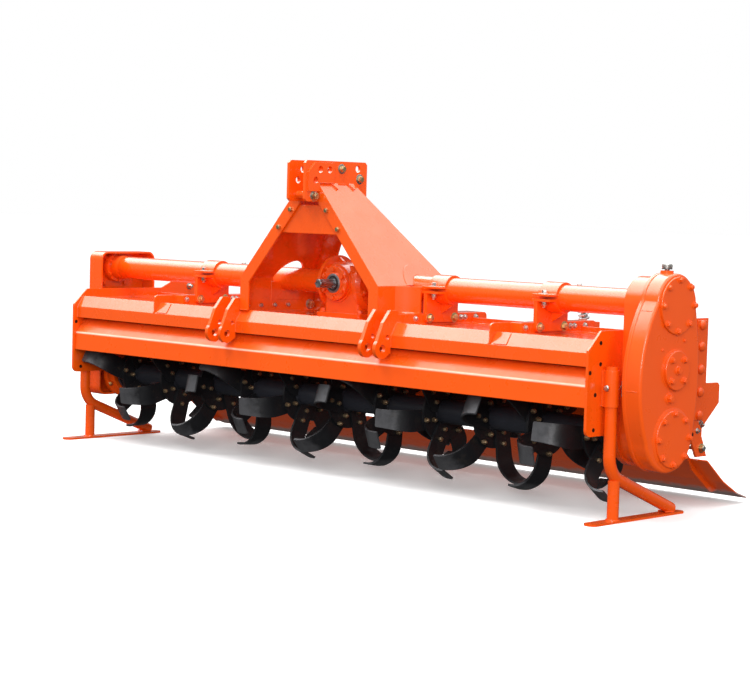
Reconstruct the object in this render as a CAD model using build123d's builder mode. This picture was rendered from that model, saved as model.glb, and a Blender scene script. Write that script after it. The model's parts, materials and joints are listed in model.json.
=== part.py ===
"""Rotary tiller for a three-point hitch, standing on its two parking stands.

The row's origin is the tip of the input shaft, on the hitch centreline: +X runs
towards the gear case, +Y to the rear, +Z up.  All sizes are millimetres.  Shapes
are drawn on planes whose local origin is the rotor axis at the hitch centreline,
so the heights and depths below are measured from the rotor axis.
"""
from build123d import *
import math
import os

os.makedirs("parts", exist_ok=True)

# ---- Datum ---------------------------------------------------------------
shaft_tip = 182            # input shaft's tip in front of the rotor axis
centre_distance = 445      # rotor axis to the cross tubes' axis, straight above it
stand_height = 281         # rotor axis above the floor
slip = 0.3                 # gap between pieces that only rest near each other
running_gap = 0.05         # radial clearance of a shaft in its bore
end_gap = 2                # from a shaft's end to the foot of its bore

# ---- Hood ----------------------------------------------------------------
hood_width = 2726          # over the outer faces of the end plates
end_plate = 10
plate_front = -275
plate_corner = -208        # where the end plates' chamfer reaches their top
plate_top = 357
plate_chamfer_z = 293
plate_foot = 8
plate_foot_round = 24
plate_belly = 104          # round part of the end plates under the rotor
plate_rear = 400
plate_rear_top = 386
plate_step = (200, 140)    # where the plate's top rises, in front of its rear edge
wing = ((400, 157), (475, 156), (484, 146), (484, 84), (386, 0))
hood_sheet = 5
deck_top = 318
beam_front = -257
beam_back = -205
beam_low = 238
beam_mid = 283
beam_top = 327
beam_top_front = -228
rear_stiffener = (182, 20)  # distance behind the rotor axis, height over the deck
shell_rear = 320           # upright part of the rear shell
shell_radius = 120
shell_low = (340, -52)
skirt_sheet = 5
skirt_crease = (-264, 175)
skirt_low = (-268, 103)
skirt_lap = 12             # skirt's top edge in front of the beam's back

# ---- Trailing board --------------------------------------------------------
hinge = (386, -72)         # hinge rod behind and below the rotor axis
hinge_rod_radius = 9
hinge_rod_out = 14
tongue = ((386, -29), (399, -56), (419, -102), (358, -102), (324, -41))
board_overhang = 37        # past the end plates' outer faces
board_sheet = 5
board_start = (-12, -38)   # board's profile, measured from the hinge rod
board_middle = (92, -120)
board_bend = (180, -168)
board_tip = (241, -188)
board_round = 90
board_rib_inset = 78       # from the board's end
board_rib_thick = 8
board_rib = ((-44, -8), (4, -84), (122, -170))
knuckle_radius = 17
knuckle_length = 70
knuckle_inset = 243        # outer knuckles, from the end plates' outer faces
knuckle_count = 5
deck_lug = 12
deck_lug_count = 4         # deck's hinge lugs, half way between the knuckles

# ---- Spring rods of the trailing board --------------------------------------
left_rod_inset = 433       # from the end plates' outer faces
right_rod_inset = 493
rod_radius = 9
lug_gap = 2                # between a rod's eye and each lug plate
rod_lug = (80, -65)        # rod's lower pin, measured from the hinge rod
rod_guide = (330, 345)     # where the rod passes its bracket
rod_over_guide = 142
rod_pin_radius = 8
rod_eye_radius = 18
rod_eye_width = 16
lug_plate = 8
lug_foot = 34
rod_lug_foot = (-84, -137)   # height of the lug plates' foot, front and rear corner
spring_radius = 21
spring_length = 96
spring_lift = 5.3          # spring's foot over its bracket
rod_nut_radius = 15
rod_nut = 14
guide_width = 76
guide_sheet = 6
guide_front = 140
guide_rear = 372
guide_slot = 46
guide_play = 5

# ---- Cross tubes, end bracket and side gear case ----------------------------
tube_radius = 46
tube_flange_radius = 57
tube_flange = 12
tray_depth = 80            # left end bracket outside the left end plate
tray_sheet = 8
tray_front = -126
tray_rear = 165
tray_low = -97
tray_high = 512
tray_round = 34
gear_case_depth = 150
gear_case_neck = 75        # straight-sided foot of the case against the end plate
neck_radius = 92
case_top_radius = 106
case_low_radius = 114
case_low_front = 145       # the body's forward bulge: at the rotor, then at the waist
case_waist_front = 188
case_waist_rear = 138
case_waist_z = 210
case_edge = 10
cover_radius = 96
cover_thick = 7
middle_cap_radius = 66
middle_cap_thick = 12
middle_cap_z = 230
breather_inboard = 48      # breather's axis in from the case's outer face
breather_boss = 8
breather_boss_radius = 22
breather_radius = 17

# ---- Rotor ---------------------------------------------------------------
tip_radius = 245
rotor_tube_radius = 45
flange_count = 11
end_flange = 128           # outer flanges, from the end plates' inner faces
flange_radius = 112
flange_thick = 10
blades_per_side = 3
blade_thick = 8
blade_gap = 7              # between blades of neighbouring flanges
blade_bend = 95            # outer radius of the blade's sideways bend
blade_root = 66            # first bolt of a blade from the rotor axis
blade_lean = 28            # degrees that a blade leans back
blade_shank = 74
blade_belly = 88
blade_end = 66
blade_end_round = 6
helix_step = 38            # degrees from one flange to the next
end_disc_radius = 78
end_disc = 12
end_disc_gap = 6           # to the bearing housing
stub_radius = 30
stub_bore = 22
bearing_flange_radius = 105
bearing_flange = 14
bearing_body_radius = 90
bearing_depth = 42         # housing's face inside the end plate
bearing_hub_radius = 62

# ---- Gearbox and input shaft -------------------------------------------------
gearbox_left = 96
gearbox_right = 132
gearbox_radius = 104
gearbox_barrel = 79
gearbox_snout_radius = 72
gearbox_snout = -80        # front face of the gearbox, where its cover seats
gearbox_base = (230, 190)
gearbox_base_thick = 16
gearbox_base_round = 16
gearbox_foot = (186, 150)
gearbox_foot_round = 20
input_cover_radius = 65
input_cover = 16
cover_gap = 3              # between the cover's rim and the side flanges
shaft_neck_radius = 22
shaft_bore = 24
spline_radius = 17.4
spline_root = 14.6
spline_width = 8.6
spline_count = 6
spline_length = 76

# ---- Tube clamps: saddle, strap and the box rib that each is bolted to --------
clamp_width = 80
clamp_web = 12
clamp_half_depth = 86
saddle_back = 12           # saddle's end behind the web's inner face
gusset_thick = 10
clamp_ring = 8
clamp_ear = 42
clamp_ear_gap = 10
web_low = 326
web_round = 12
rib_box = 56               # width of the left and the outer rib
left_rib_inset = 502       # from the end plates' outer faces
right_rib_inset = 390
rib_top = 357
rib_sheet = 8
rib_front = -150
rib_rear = 265
fin_round = 16

# ---- Mast and hitch ----------------------------------------------------------
mast_sheet = 8
mast_knee = 454
mast_peak = 818
mast_front = -240
mast_rear_top = -47
mast_rear_low = 160
mast_flange = 48
mast_hole_radius = 72
cross_plate = (632, 738)   # front cross plate, from and to
cross_plate_thick = 8
rear_frame = 100           # width of the rear frame along each panel
rear_frame_arch = 640      # top of the opening in the rear frame
ear_gap = 74               # between the upper ears' inner faces
ear_thick = 12
ear_low = 752
ear_top = 904
ear_front = -309
ear_rear = 16
ear_chamfer = 10
doubler = 8
doubler_outline = (
    (-299, 790), (-242, 790), (-242, 822), (-165, 822), (-165, 897), (-266, 897), (-299, 860),
)
upper_pin_radius = 12.75   # category 2 upper link pin
upper_holes = ((-238, 871), (-190, 871), (-261, 831), (-33, 878))
spacer_radius = 15
spacer_seat = (-262, 776)
lower_span = 825           # category 2, between the clevises' middles
clevis_gap = 58
clevis_thick = 15
lower_hole = (-300, 236)
lower_pin_radius = 14.5    # category 2 lower link pin
clevis_round = 37
clevis_top = 372
clevis_front = ((-298, 328), (-262, 372))
clevis_rear = -221
clevis_hole = (-275, 276)  # smaller hole above the link pin
clevis_hole_radius = 9
clevis_pad = 10

# ---- Parking stands ----------------------------------------------------------
stand_out = 28             # leg's axis outside the end plate
leg_radius = 21
sleeve_radius = 25.5
sleeve_low = 106
sleeve_high = 228
sleeve_pad = 34
leg_gap = 0.4
leg_top = 240
leg_corner = (-180, -118)  # where the leg turns back towards the foot
leg_bend_radius = 90
leg_end = (176, -262)
post_y = -150
post_top = -140
post_radius = 20
foot_front = -285
foot_rear = 232
foot_width = 50
foot_thick = 8
foot_nose = 26

clevis_inner = lower_span / 2 - clevis_gap / 2 - clevis_thick
clevis_outer = lower_span / 2 + clevis_gap / 2 + clevis_thick
ear_outer = ear_gap / 2 + ear_thick
mast_half = clevis_inner - slip
mast_lean = math.atan2(mast_half - ear_outer, mast_peak - mast_knee)
gearbox_flange = gearbox_left - input_cover_radius - cover_gap   # side flanges of the casing
half = hood_width / 2
inner = half - end_plate
ribs = (                   # name, x of its two sides, fin in front, clamp on its right side
    ("left", left_rib_inset - half, left_rib_inset - half + rib_box, True, True),
    ("mast", -clevis_outer, -clevis_inner, False, False),
    ("inner", clevis_inner, clevis_outer, False, True),
    ("outer", half - right_rib_inset - rib_box, half - right_rib_inset, True, True),
)
rods = (("left", left_rod_inset - half), ("right", half - right_rod_inset))
board_half = half + board_overhang
board_rib_x = board_half - board_rib_inset
knuckle_pitch = 2 * (half - knuckle_inset) / (knuckle_count - 1)
flange_pitch = 2 * (inner - end_flange) / (flange_count - 1)
blade_reach = flange_pitch / 2 - flange_thick / 2 - blade_gap / 2
floor = -stand_height
tube_z = centre_distance
case_outer = half + gear_case_depth
tray_outer = half + tray_depth
breather_x = case_outer - breather_inboard


def side(x):
    """YZ plane at x: local x is the row's +Y, local y its +Z; extrudes to +X."""
    return Plane(origin=(x, shaft_tip, -tube_z), x_dir=(0, 1, 0), z_dir=(1, 0, 0))


def front(y):
    """XZ plane at y: local x is the row's +X, local y its +Z; extrudes to -Y."""
    return Plane(origin=(0, shaft_tip + y, -tube_z), x_dir=(1, 0, 0), z_dir=(0, -1, 0))


def level(z):
    """XY plane at height z; extrudes to +Z."""
    return Plane(origin=(0, shaft_tip, z - tube_z))


def mast_inner(z):
    """Half width between the mast panels' inner faces at height z over the knee."""
    return mast_half - (z - mast_knee) * math.tan(mast_lean) - mast_sheet / math.cos(mast_lean) - slip


def save(piece, label):
    piece.part.label = label
    export_step(piece.part, f"parts/{label}.step")


# ---- Deck: front beam, flat top, stiffener and rounded rear shell in one piece ----
with BuildPart() as deck:
    with BuildSketch(side(-inner)):
        Polygon(
            (beam_back, beam_low),
            (beam_front, beam_low),
            (beam_front, beam_mid),
            (beam_top_front, beam_top),
            (beam_back, beam_top),
            align=None,
        )
        with BuildLine():
            flat = Line((beam_back, deck_top), (shell_rear - shell_radius, deck_top))
            corner = JernArc(flat @ 1, flat % 1, radius=shell_radius, arc_size=-90)
            fall = Line(corner @ 1, (shell_rear, 0))
            flare = Line(fall @ 1, shell_low)
            offset(amount=hood_sheet, side=Side.RIGHT)
        make_face()
        with Locations((rear_stiffener[0], deck_top)):
            Rectangle(hood_sheet, rear_stiffener[1], align=(Align.CENTER, Align.MIN))
    extrude(amount=2 * inner)
    for index in range(deck_lug_count):
        lug_x = (index - (deck_lug_count - 1) / 2) * knuckle_pitch
        with BuildSketch(side(lug_x - deck_lug / 2)):
            Polygon(
                (shell_rear, 0),
                shell_low,
                (hinge[0] - knuckle_radius, hinge[1]),
                (hinge[0], hinge[1] + knuckle_radius),
                align=None,
            )
            with Locations(hinge):
                Circle(knuckle_radius)
                Circle(hinge_rod_radius + running_gap, mode=Mode.SUBTRACT)
        extrude(amount=deck_lug)
save(deck, "hood_deck")

with BuildPart() as skirt:
    with BuildSketch(side(-inner)):
        with BuildLine():
            Polyline((beam_back - skirt_lap, beam_low - skirt_sheet), skirt_crease, skirt_low)
            offset(amount=skirt_sheet, side=Side.LEFT)
        make_face()
    extrude(amount=2 * inner)
save(skirt, "front_skirt")

for side_name, plate_x in (("left", -half), ("right", inner)):
    with BuildPart() as plate:
        with BuildSketch(side(plate_x)):
            with BuildLine():
                Polyline(
                    (-plate_belly, plate_foot),
                    (plate_front, plate_foot),
                    (plate_front, plate_chamfer_z),
                    (plate_corner, plate_top),
                    (plate_rear - plate_step[0], plate_top),
                    (plate_rear - plate_step[1], plate_rear_top),
                    (plate_rear, plate_rear_top),
                    *wing,
                    *tongue,
                    (plate_belly, plate_foot),
                )
                ThreePointArc((plate_belly, plate_foot), (0, -plate_belly), (-plate_belly, plate_foot))
            make_face()
            Circle(bearing_hub_radius + running_gap, mode=Mode.SUBTRACT)
            with Locations(hinge):
                Circle(hinge_rod_radius + running_gap, mode=Mode.SUBTRACT)
        extrude(amount=end_plate)
        front_edges = plate.edges().filter_by(Axis.X).group_by(Axis.Y)[0]
        fillet(front_edges.sort_by(Axis.Z)[0], radius=plate_foot_round)
    save(plate, f"end_plate_{side_name}")

# ---- Left end bracket: a deep pressed tray that carries the tube and the bearing ----
with BuildPart() as tray:
    with BuildSketch(side(-tray_outer)):
        with Locations(((tray_front + tray_rear) / 2, (tray_low + tray_high) / 2)):
            RectangleRounded(tray_rear - tray_front, tray_high - tray_low, tray_round)
    extrude(amount=tray_depth)
    offset(amount=-tray_sheet, openings=tray.faces().sort_by(Axis.X)[-1])
save(tray, "left_end_bracket")

# ---- Rotor bearing housings, one through each end plate ----
for side_name, sign, hub_end in (("left", -1, tray_outer - tray_sheet), ("right", 1, half)):
    with BuildPart() as housing:
        for start, length, radius in (
            (inner - bearing_depth, bearing_depth, bearing_body_radius),
            (inner - bearing_flange, bearing_flange, bearing_flange_radius),
            (inner, hub_end - inner, bearing_hub_radius),
        ):
            with BuildSketch(side(sign * start)):
                Circle(radius)
            extrude(amount=sign * length)
        with BuildSketch(side(sign * (inner - bearing_depth))):
            Circle(stub_radius + running_gap)
        extrude(amount=sign * stub_bore, mode=Mode.SUBTRACT)
    save(housing, f"rotor_bearing_{side_name}")

# ---- Cross tubes with their end flanges ----
for side_name, sign, start, end in (
    ("left", -1, gearbox_left, tray_outer - tray_sheet),
    ("right", 1, gearbox_right, half),
):
    with BuildPart() as cross_tube:
        for x_start, length, radius in (
            (start, end - start, tube_radius),
            (start, tube_flange, tube_flange_radius),
            (end - tube_flange, tube_flange, tube_flange_radius),
        ):
            with BuildSketch(side(sign * x_start)):
                with Locations((0, tube_z)):
                    Circle(radius)
            extrude(amount=sign * length)
    save(cross_tube, f"cross_tube_{side_name}")

# ---- Side gear case: a cast housing that bulges forward, on a narrower foot ----
case_points = (            # y, z of the arcs' ends and middles, round the outline
    (-case_top_radius, tube_z + 12),
    (0, tube_z + case_top_radius),
    (case_top_radius, tube_z + 12),
    (case_waist_rear, case_waist_z),
    (case_low_radius, -12),
    ((case_low_radius - case_low_front) / 2, -case_low_radius),
    (-case_low_front, -12),
    (-case_waist_front, case_waist_z),
    (-case_top_radius, tube_z + 12),
)
with BuildPart() as gear_case:
    with BuildSketch(side(half)):
        with Locations((0, tube_z / 2)):
            SlotCenterToCenter(tube_z, 2 * neck_radius, rotation=90)
    extrude(amount=gear_case_neck)
    with BuildSketch(side(half + gear_case_neck)):
        with BuildLine():
            for first in (0, 2, 4, 6):
                ThreePointArc(*case_points[first : first + 3])
        make_face()
    extrude(amount=gear_case_depth - gear_case_neck)
    fillet(gear_case.faces().sort_by(Axis.X)[-1].edges(), radius=case_edge)
    with BuildSketch(level(tube_z + case_top_radius + breather_boss)):
        with Locations((breather_x, 0)):
            Circle(breather_boss_radius)
    extrude(amount=-3 * breather_boss)
save(gear_case, "gear_case")

for cover_name, cover_z, radius, thick in (
    ("upper", tube_z, cover_radius, cover_thick),
    ("middle", middle_cap_z, middle_cap_radius, middle_cap_thick),
    ("lower", 0, cover_radius, cover_thick),
):
    with BuildPart() as cover:
        with BuildSketch(side(case_outer)):
            with Locations((0, cover_z)):
                Circle(radius)
        extrude(amount=thick)
        fillet(cover.faces().sort_by(Axis.X)[-1].edges(), radius=3)
    save(cover, f"gear_case_cover_{cover_name}")

with BuildPart() as breather:
    for start, length, radius in ((0, 6, 0.5 * breather_radius), (6, 16, breather_radius)):
        with BuildSketch(level(tube_z + case_top_radius + breather_boss + start)):
            with Locations((breather_x, 0)):
                Circle(radius)
        extrude(amount=length)
save(breather, "breather")

# ---- Rotor: tube with end discs and stub shafts ----
disc_face = inner - bearing_depth - end_disc_gap
with BuildPart() as rotor_tube:
    with BuildSketch(side(-disc_face)):
        Circle(rotor_tube_radius)
    extrude(amount=2 * disc_face)
    for sign in (-1, 1):
        for start, length, radius in (
            (disc_face - end_disc, end_disc, end_disc_radius),
            (disc_face, end_disc_gap + stub_bore - end_gap, stub_radius),
        ):
            with BuildSketch(side(sign * start)):
                Circle(radius)
            extrude(amount=sign * length)
save(rotor_tube, "rotor_tube")

# ---- Blade: flat spring steel, swept back, its end bent sideways.  Its outline in the
# rotor's plane is cut out of a bent strip.  Local z is the rotor axis here. ----
lean = math.radians(blade_lean)
along = (math.cos(lean), -math.sin(lean), 0)
across = (math.sin(lean), math.cos(lean), 0)
corner_x = blade_root * math.cos(lean)
corner_y = blade_root * math.sin(lean) + blade_end / 2
blade_length = math.sqrt(tip_radius**2 - corner_y**2) - corner_x
blade_start = flange_thick / 2
with BuildPart() as blade:
    with BuildSketch(Plane(origin=(blade_root, 0, 0), x_dir=(0, 0, 1), z_dir=across)):
        with BuildLine():
            shank = Line((blade_start, -blade_shank / 2), (blade_start, blade_length - blade_bend))
            bend = JernArc(shank @ 1, shank % 1, radius=blade_bend, arc_size=-90)
            Line(bend @ 1, (blade_start + blade_reach, blade_length))
            offset(amount=blade_thick, side=Side.RIGHT)
        make_face()
    extrude(amount=blade_end, both=True)
    with BuildSketch(Plane(origin=(blade_root, 0, 0), x_dir=along, z_dir=(0, 0, 1))):
        with BuildLine():
            ThreePointArc((0, -blade_shank / 2), (-blade_shank / 2, 0), (0, blade_shank / 2))
            Spline(
                (0, blade_shank / 2),
                (blade_length / 2, blade_belly / 2),
                (blade_length, blade_end / 2),
                tangents=((1, 0), (1, -0.3)),
            )
            Line((blade_length, blade_end / 2), (blade_length, -blade_end / 2))
            Spline(
                (blade_length, -blade_end / 2),
                (blade_length / 2, -blade_shank / 2),
                (0, -blade_shank / 2),
                tangents=((-1, -0.1), (-1, 0)),
            )
        make_face()
    extrude(amount=2 * blade_reach, mode=Mode.INTERSECT)
    end_edges = blade.faces().sort_by(Axis.Z)[-1].edges().sort_by(SortBy.LENGTH)[0:2]
    fillet(end_edges, radius=blade_end_round)

for index in range(flange_count):
    flange_x = (index - (flange_count - 1) / 2) * flange_pitch
    turn = index * helix_step
    with BuildPart() as tine_set:
        with BuildSketch(side(flange_x - flange_thick / 2)):
            Circle(flange_radius)
        extrude(amount=flange_thick)
        with Locations(side(flange_x)):
            with PolarLocations(0, blades_per_side, start_angle=turn):
                add(blade.part)
            with PolarLocations(0, blades_per_side, start_angle=turn + 180 / blades_per_side):
                add(mirror(blade.part, about=Plane.XY, mode=Mode.PRIVATE))
        with BuildSketch(side(flange_x)):
            Circle(rotor_tube_radius + running_gap)
        extrude(amount=flange_pitch / 2, both=True, mode=Mode.SUBTRACT)
    save(tine_set, f"tine_set_{index + 1:02d}")

# ---- Gearbox: barrel with two side flanges on a bolted foot, and the input snout ----
with BuildPart() as gearbox:
    for start, end, radius in (
        (-gearbox_left, gearbox_right, gearbox_barrel),
        (-gearbox_left, gearbox_flange - gearbox_left, gearbox_radius),
        (gearbox_right - gearbox_flange, gearbox_right, gearbox_radius),
    ):
        with BuildSketch(side(start)):
            with Locations((0, tube_z)):
                Circle(radius)
        extrude(amount=end - start)
    for end_face in (gearbox.faces().sort_by(Axis.X)[0], gearbox.faces().sort_by(Axis.X)[-1]):
        chamfer(end_face.edges(), length=gearbox_flange / 2)
    with BuildSketch(front(gearbox_snout)):
        with Locations((0, tube_z)):
            Circle(gearbox_snout_radius)
    extrude(amount=gearbox_snout)
    with BuildSketch(level(deck_top + gearbox_base_thick)):
        with Locations(((gearbox_right - gearbox_left) / 2, 0)):
            RectangleRounded(*gearbox_foot, gearbox_foot_round)
    extrude(amount=tube_z - deck_top - gearbox_base_thick)
    with BuildSketch(level(deck_top)):
        with Locations(((gearbox_right - gearbox_left) / 2, 0)):
            RectangleRounded(*gearbox_base, gearbox_base_round)
    extrude(amount=gearbox_base_thick)
    with BuildSketch(front(gearbox_snout)):
        with Locations((0, tube_z)):
            Circle(shaft_neck_radius + running_gap)
    extrude(amount=-shaft_bore, mode=Mode.SUBTRACT)
save(gearbox, "gearbox")

with BuildPart() as input_cover_part:
    with BuildSketch(front(gearbox_snout)):
        with Locations((0, tube_z)):
            Circle(input_cover_radius)
            Circle(shaft_neck_radius + running_gap, mode=Mode.SUBTRACT)
    extrude(amount=input_cover)
    front_rims = input_cover_part.faces().sort_by(Axis.Y)[0].edges()
    fillet(front_rims.sort_by(SortBy.RADIUS)[-1], radius=4)
save(input_cover_part, "input_bearing_cover")

# ---- Input shaft: six splines, shoulder and neck ----
with BuildPart() as shaft:
    with BuildSketch(Plane(origin=(0, 0, 0), x_dir=(1, 0, 0), z_dir=(0, 1, 0))):
        Circle(spline_root)
        with PolarLocations(0, spline_count):
            with Locations((spline_radius / 2, 0)):
                Rectangle(spline_radius, spline_width)
        Circle(spline_radius, mode=Mode.INTERSECT)
    extrude(amount=spline_length)
    with BuildSketch(Plane(origin=(0, spline_length, 0), x_dir=(1, 0, 0), z_dir=(0, 1, 0))):
        Circle(shaft_neck_radius)
    extrude(amount=shaft_tip + gearbox_snout + shaft_bore - end_gap - spline_length)
    chamfer(shaft.faces().sort_by(Axis.Y)[0].edges().filter_by(GeomType.CIRCLE), length=2)
save(shaft, "input_shaft")

# ---- Box ribs on the deck and the tube clamps bolted to them ----
for rib_name, rib_x, rib_end, has_fin, _ in ribs:
    rib_width = rib_end - rib_x
    with BuildPart() as rib:
        with BuildSketch(side(rib_x)) as rib_outline:
            with Locations((rib_front, deck_top)):
                Rectangle(rib_rear - rib_front, rib_top - deck_top, align=(Align.MIN, Align.MIN))
            fillet(rib_outline.vertices().group_by(Axis.X)[-1].sort_by(Axis.Y)[-1], radius=fin_round)
        extrude(amount=rib_width)
        with BuildSketch(side(rib_x + rib_sheet)):
            with Locations((rib_front + rib_sheet, deck_top)):
                Rectangle(
                    rib_rear - rib_front - 2 * rib_sheet,
                    rib_top - deck_top - rib_sheet,
                    align=(Align.MIN, Align.MIN),
                )
        extrude(amount=rib_width - 2 * rib_sheet, mode=Mode.SUBTRACT)
        if has_fin:
            with BuildSketch(side(rib_x)) as fin:
                Polygon(
                    (beam_front, beam_mid),
                    (beam_front, rib_top),
                    (rib_front, rib_top),
                    (rib_front, deck_top),
                    (beam_back, deck_top),
                    (beam_back, beam_top),
                    (beam_top_front, beam_top),
                    align=None,
                )
                fillet(fin.vertices().group_by(Axis.X)[0].sort_by(Axis.Y)[-1], radius=fin_round)
            extrude(amount=rib_sheet)
        with BuildSketch(side(rib_x)):
            with Locations((rear_stiffener[0], deck_top)):
                Rectangle(hood_sheet + 2 * slip, 2 * (rear_stiffener[1] + slip))
        extrude(amount=rib_width, mode=Mode.SUBTRACT)
    save(rib, f"deck_rib_{rib_name}")

for clamp_name, _, web_x, _, _ in [rib_row for rib_row in ribs if rib_row[-1]]:
    saddle_x = web_x - saddle_back
    with BuildPart() as clamp:
        with BuildSketch(side(web_x)) as web:
            with Locations((0, (web_low + tube_z) / 2)):
                Rectangle(2 * clamp_half_depth, tube_z - web_low)
            fillet(web.vertices().group_by(Axis.Y)[0], radius=web_round)
        extrude(amount=clamp_web)
        with BuildSketch(side(saddle_x)):
            with Locations((0, tube_z)):
                Circle(tube_radius + clamp_ring)
                Rectangle(2 * (tube_radius + clamp_ear), 2 * clamp_ring + clamp_ear_gap)
        extrude(amount=clamp_width)
        with BuildSketch(front(-gusset_thick / 2)):
            Polygon(
                (web_x + clamp_web, rib_top),
                (web_x + clamp_web, tube_z),
                (saddle_x + clamp_width, tube_z),
                (saddle_x + clamp_width, tube_z - tube_radius - clamp_ring),
                align=None,
            )
        extrude(amount=-gusset_thick)
        with BuildSketch(side(saddle_x)):
            with Locations((0, tube_z)):
                Circle(tube_radius + running_gap)
            with Locations((0, tube_z - clamp_ear_gap / 2)):
                Rectangle(4 * clamp_width, 2 * clamp_width, align=(Align.CENTER, Align.MIN))
        extrude(amount=clamp_width, mode=Mode.SUBTRACT)
    save(clamp, f"tube_clamp_{clamp_name}")
    with BuildPart() as strap:
        with BuildSketch(side(saddle_x)):
            with Locations((0, tube_z)):
                Circle(tube_radius + clamp_ring)
                Rectangle(2 * (tube_radius + clamp_ear), 2 * clamp_ring + clamp_ear_gap)
                Circle(tube_radius + running_gap, mode=Mode.SUBTRACT)
            with Locations((0, tube_z + clamp_ear_gap / 2)):
                Rectangle(
                    4 * clamp_width,
                    2 * clamp_width,
                    align=(Align.CENTER, Align.MAX),
                    mode=Mode.SUBTRACT,
                )
        extrude(amount=clamp_width)
    save(strap, f"clamp_strap_{clamp_name}")

# ---- Mast: two bent panels with front flanges, a cross plate and a rear frame ----
for side_name, sign in (("left", -1), ("right", 1)):
    with BuildPart() as panel:
        for depth, width in ((mast_rear_low - mast_front, mast_sheet), (mast_sheet, mast_flange)):
            with BuildSketch(front(mast_front)):
                with BuildLine():
                    Polyline(
                        (sign * mast_half, deck_top + slip),
                        (sign * mast_half, mast_knee),
                        (sign * ear_outer, mast_peak),
                    )
                    offset(amount=width, side=Side.LEFT if sign > 0 else Side.RIGHT)
                make_face()
            extrude(amount=-depth)
        with BuildSketch(side(sign * (ear_outer + slip))):
            Polygon(
                (mast_front, beam_top + slip),
                (mast_front, mast_peak),
                (mast_rear_top, mast_peak),
                (mast_rear_low, mast_knee),
                (mast_rear_low, deck_top + slip),
                (beam_back + slip, deck_top + slip),
                (beam_back + slip, beam_top + slip),
                align=None,
            )
            with Locations((0, tube_z)):
                Circle(mast_hole_radius, mode=Mode.SUBTRACT)
        extrude(amount=sign * mast_half, mode=Mode.INTERSECT)
    save(panel, f"mast_panel_{side_name}")

with BuildPart() as cross:
    with BuildSketch(front(mast_front + mast_sheet + slip)):
        Polygon(
            (-mast_inner(cross_plate[0]), cross_plate[0]),
            (mast_inner(cross_plate[0]), cross_plate[0]),
            (mast_inner(cross_plate[1]), cross_plate[1]),
            (-mast_inner(cross_plate[1]), cross_plate[1]),
            align=None,
        )
    extrude(amount=-cross_plate_thick)
save(cross, "mast_cross_plate")

rear_slope = (mast_rear_low - mast_rear_top) / (mast_peak - mast_knee)
with BuildPart() as rear_plate:
    with BuildSketch(side(-mast_half)):
        with BuildLine():
            Polyline(
                (mast_rear_low, deck_top + slip),
                (mast_rear_low, mast_knee),
                (mast_rear_top + rear_slope * (mast_peak - ear_low), ear_low),
            )
            offset(amount=mast_sheet, side=Side.LEFT)
        make_face()
    extrude(amount=2 * mast_half)
    with BuildSketch(front(mast_front)):
        Polygon(
            (mast_half - mast_sheet - slip, deck_top + slip),
            (mast_inner(mast_knee), mast_knee),
            (mast_inner(cross_plate[1]), cross_plate[1]),
            (-mast_inner(cross_plate[1]), cross_plate[1]),
            (-mast_inner(mast_knee), mast_knee),
            (-mast_half + mast_sheet + slip, deck_top + slip),
            align=None,
        )
        Polygon(
            (mast_half - rear_frame, 0),
            (mast_half - rear_frame, mast_knee),
            (mast_inner(rear_frame_arch) - rear_frame, rear_frame_arch),
            (rear_frame - mast_inner(rear_frame_arch), rear_frame_arch),
            (rear_frame - mast_half, mast_knee),
            (rear_frame - mast_half, 0),
            align=None,
            mode=Mode.SUBTRACT,
        )
    extrude(amount=-2 * (mast_rear_low - mast_front), mode=Mode.INTERSECT)
save(rear_plate, "mast_rear_frame")

# ---- Upper hitch ears with their doublers, and the spacer between them ----
for side_name, sign in (("left", -1), ("right", 1)):
    with BuildPart() as ear:
        with BuildSketch(side(sign * ear_gap / 2)) as ear_outline:
            with Locations(((ear_front + ear_rear) / 2, (ear_low + ear_top) / 2)):
                Rectangle(ear_rear - ear_front, ear_top - ear_low)
            chamfer(ear_outline.vertices(), length=ear_chamfer)
        extrude(amount=sign * ear_thick)
        with BuildSketch(side(sign * ear_outer)):
            Polygon(*doubler_outline, align=None)
        extrude(amount=sign * doubler)
        with BuildSketch(side(sign * ear_gap / 2)):
            with Locations(*upper_holes):
                Circle(upper_pin_radius)
        extrude(amount=sign * (ear_thick + doubler), mode=Mode.SUBTRACT)
    save(ear, f"hitch_ear_{side_name}")

with BuildPart() as spacer:
    with BuildSketch(side(slip - ear_gap / 2)):
        with Locations(spacer_seat):
            Circle(spacer_radius)
    extrude(amount=ear_gap - 2 * slip)
save(spacer, "ear_spacer")

# ---- Lower clevises on the beam ----
for side_name, sign in (("left", -1), ("right", 1)):
    with BuildPart() as clevis:
        for ear_x in (-clevis_gap / 2 - clevis_thick, clevis_gap / 2):
            with BuildSketch(side(sign * lower_span / 2 + ear_x)) as clevis_outline:
                Polygon(
                    (lower_hole[0] - clevis_round, lower_hole[1]),
                    *clevis_front,
                    (clevis_rear, clevis_top),
                    (clevis_rear, rib_top),
                    (rib_front - slip, rib_top),
                    (rib_front - slip, deck_top + slip),
                    (beam_back + slip, deck_top + slip),
                    (beam_back + slip, beam_top + slip),
                    (beam_top_front - slip, beam_top + slip),
                    (beam_front - slip, beam_mid + slip),
                    (beam_front - slip, lower_hole[1] - clevis_round / 2),
                    (lower_hole[0], lower_hole[1] - clevis_round),
                    align=None,
                )
                with Locations(lower_hole):
                    Circle(clevis_round)
                    Circle(lower_pin_radius, mode=Mode.SUBTRACT)
                with Locations(clevis_hole):
                    Circle(clevis_hole_radius, mode=Mode.SUBTRACT)
            extrude(amount=clevis_thick)
        with BuildSketch(side(sign * lower_span / 2 - clevis_gap / 2)):
            with Locations((beam_front - slip, beam_low)):
                Rectangle(clevis_pad, beam_mid - beam_low, align=(Align.MAX, Align.MIN))
        extrude(amount=clevis_gap)
    save(clevis, f"lower_clevis_{side_name}")

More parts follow.
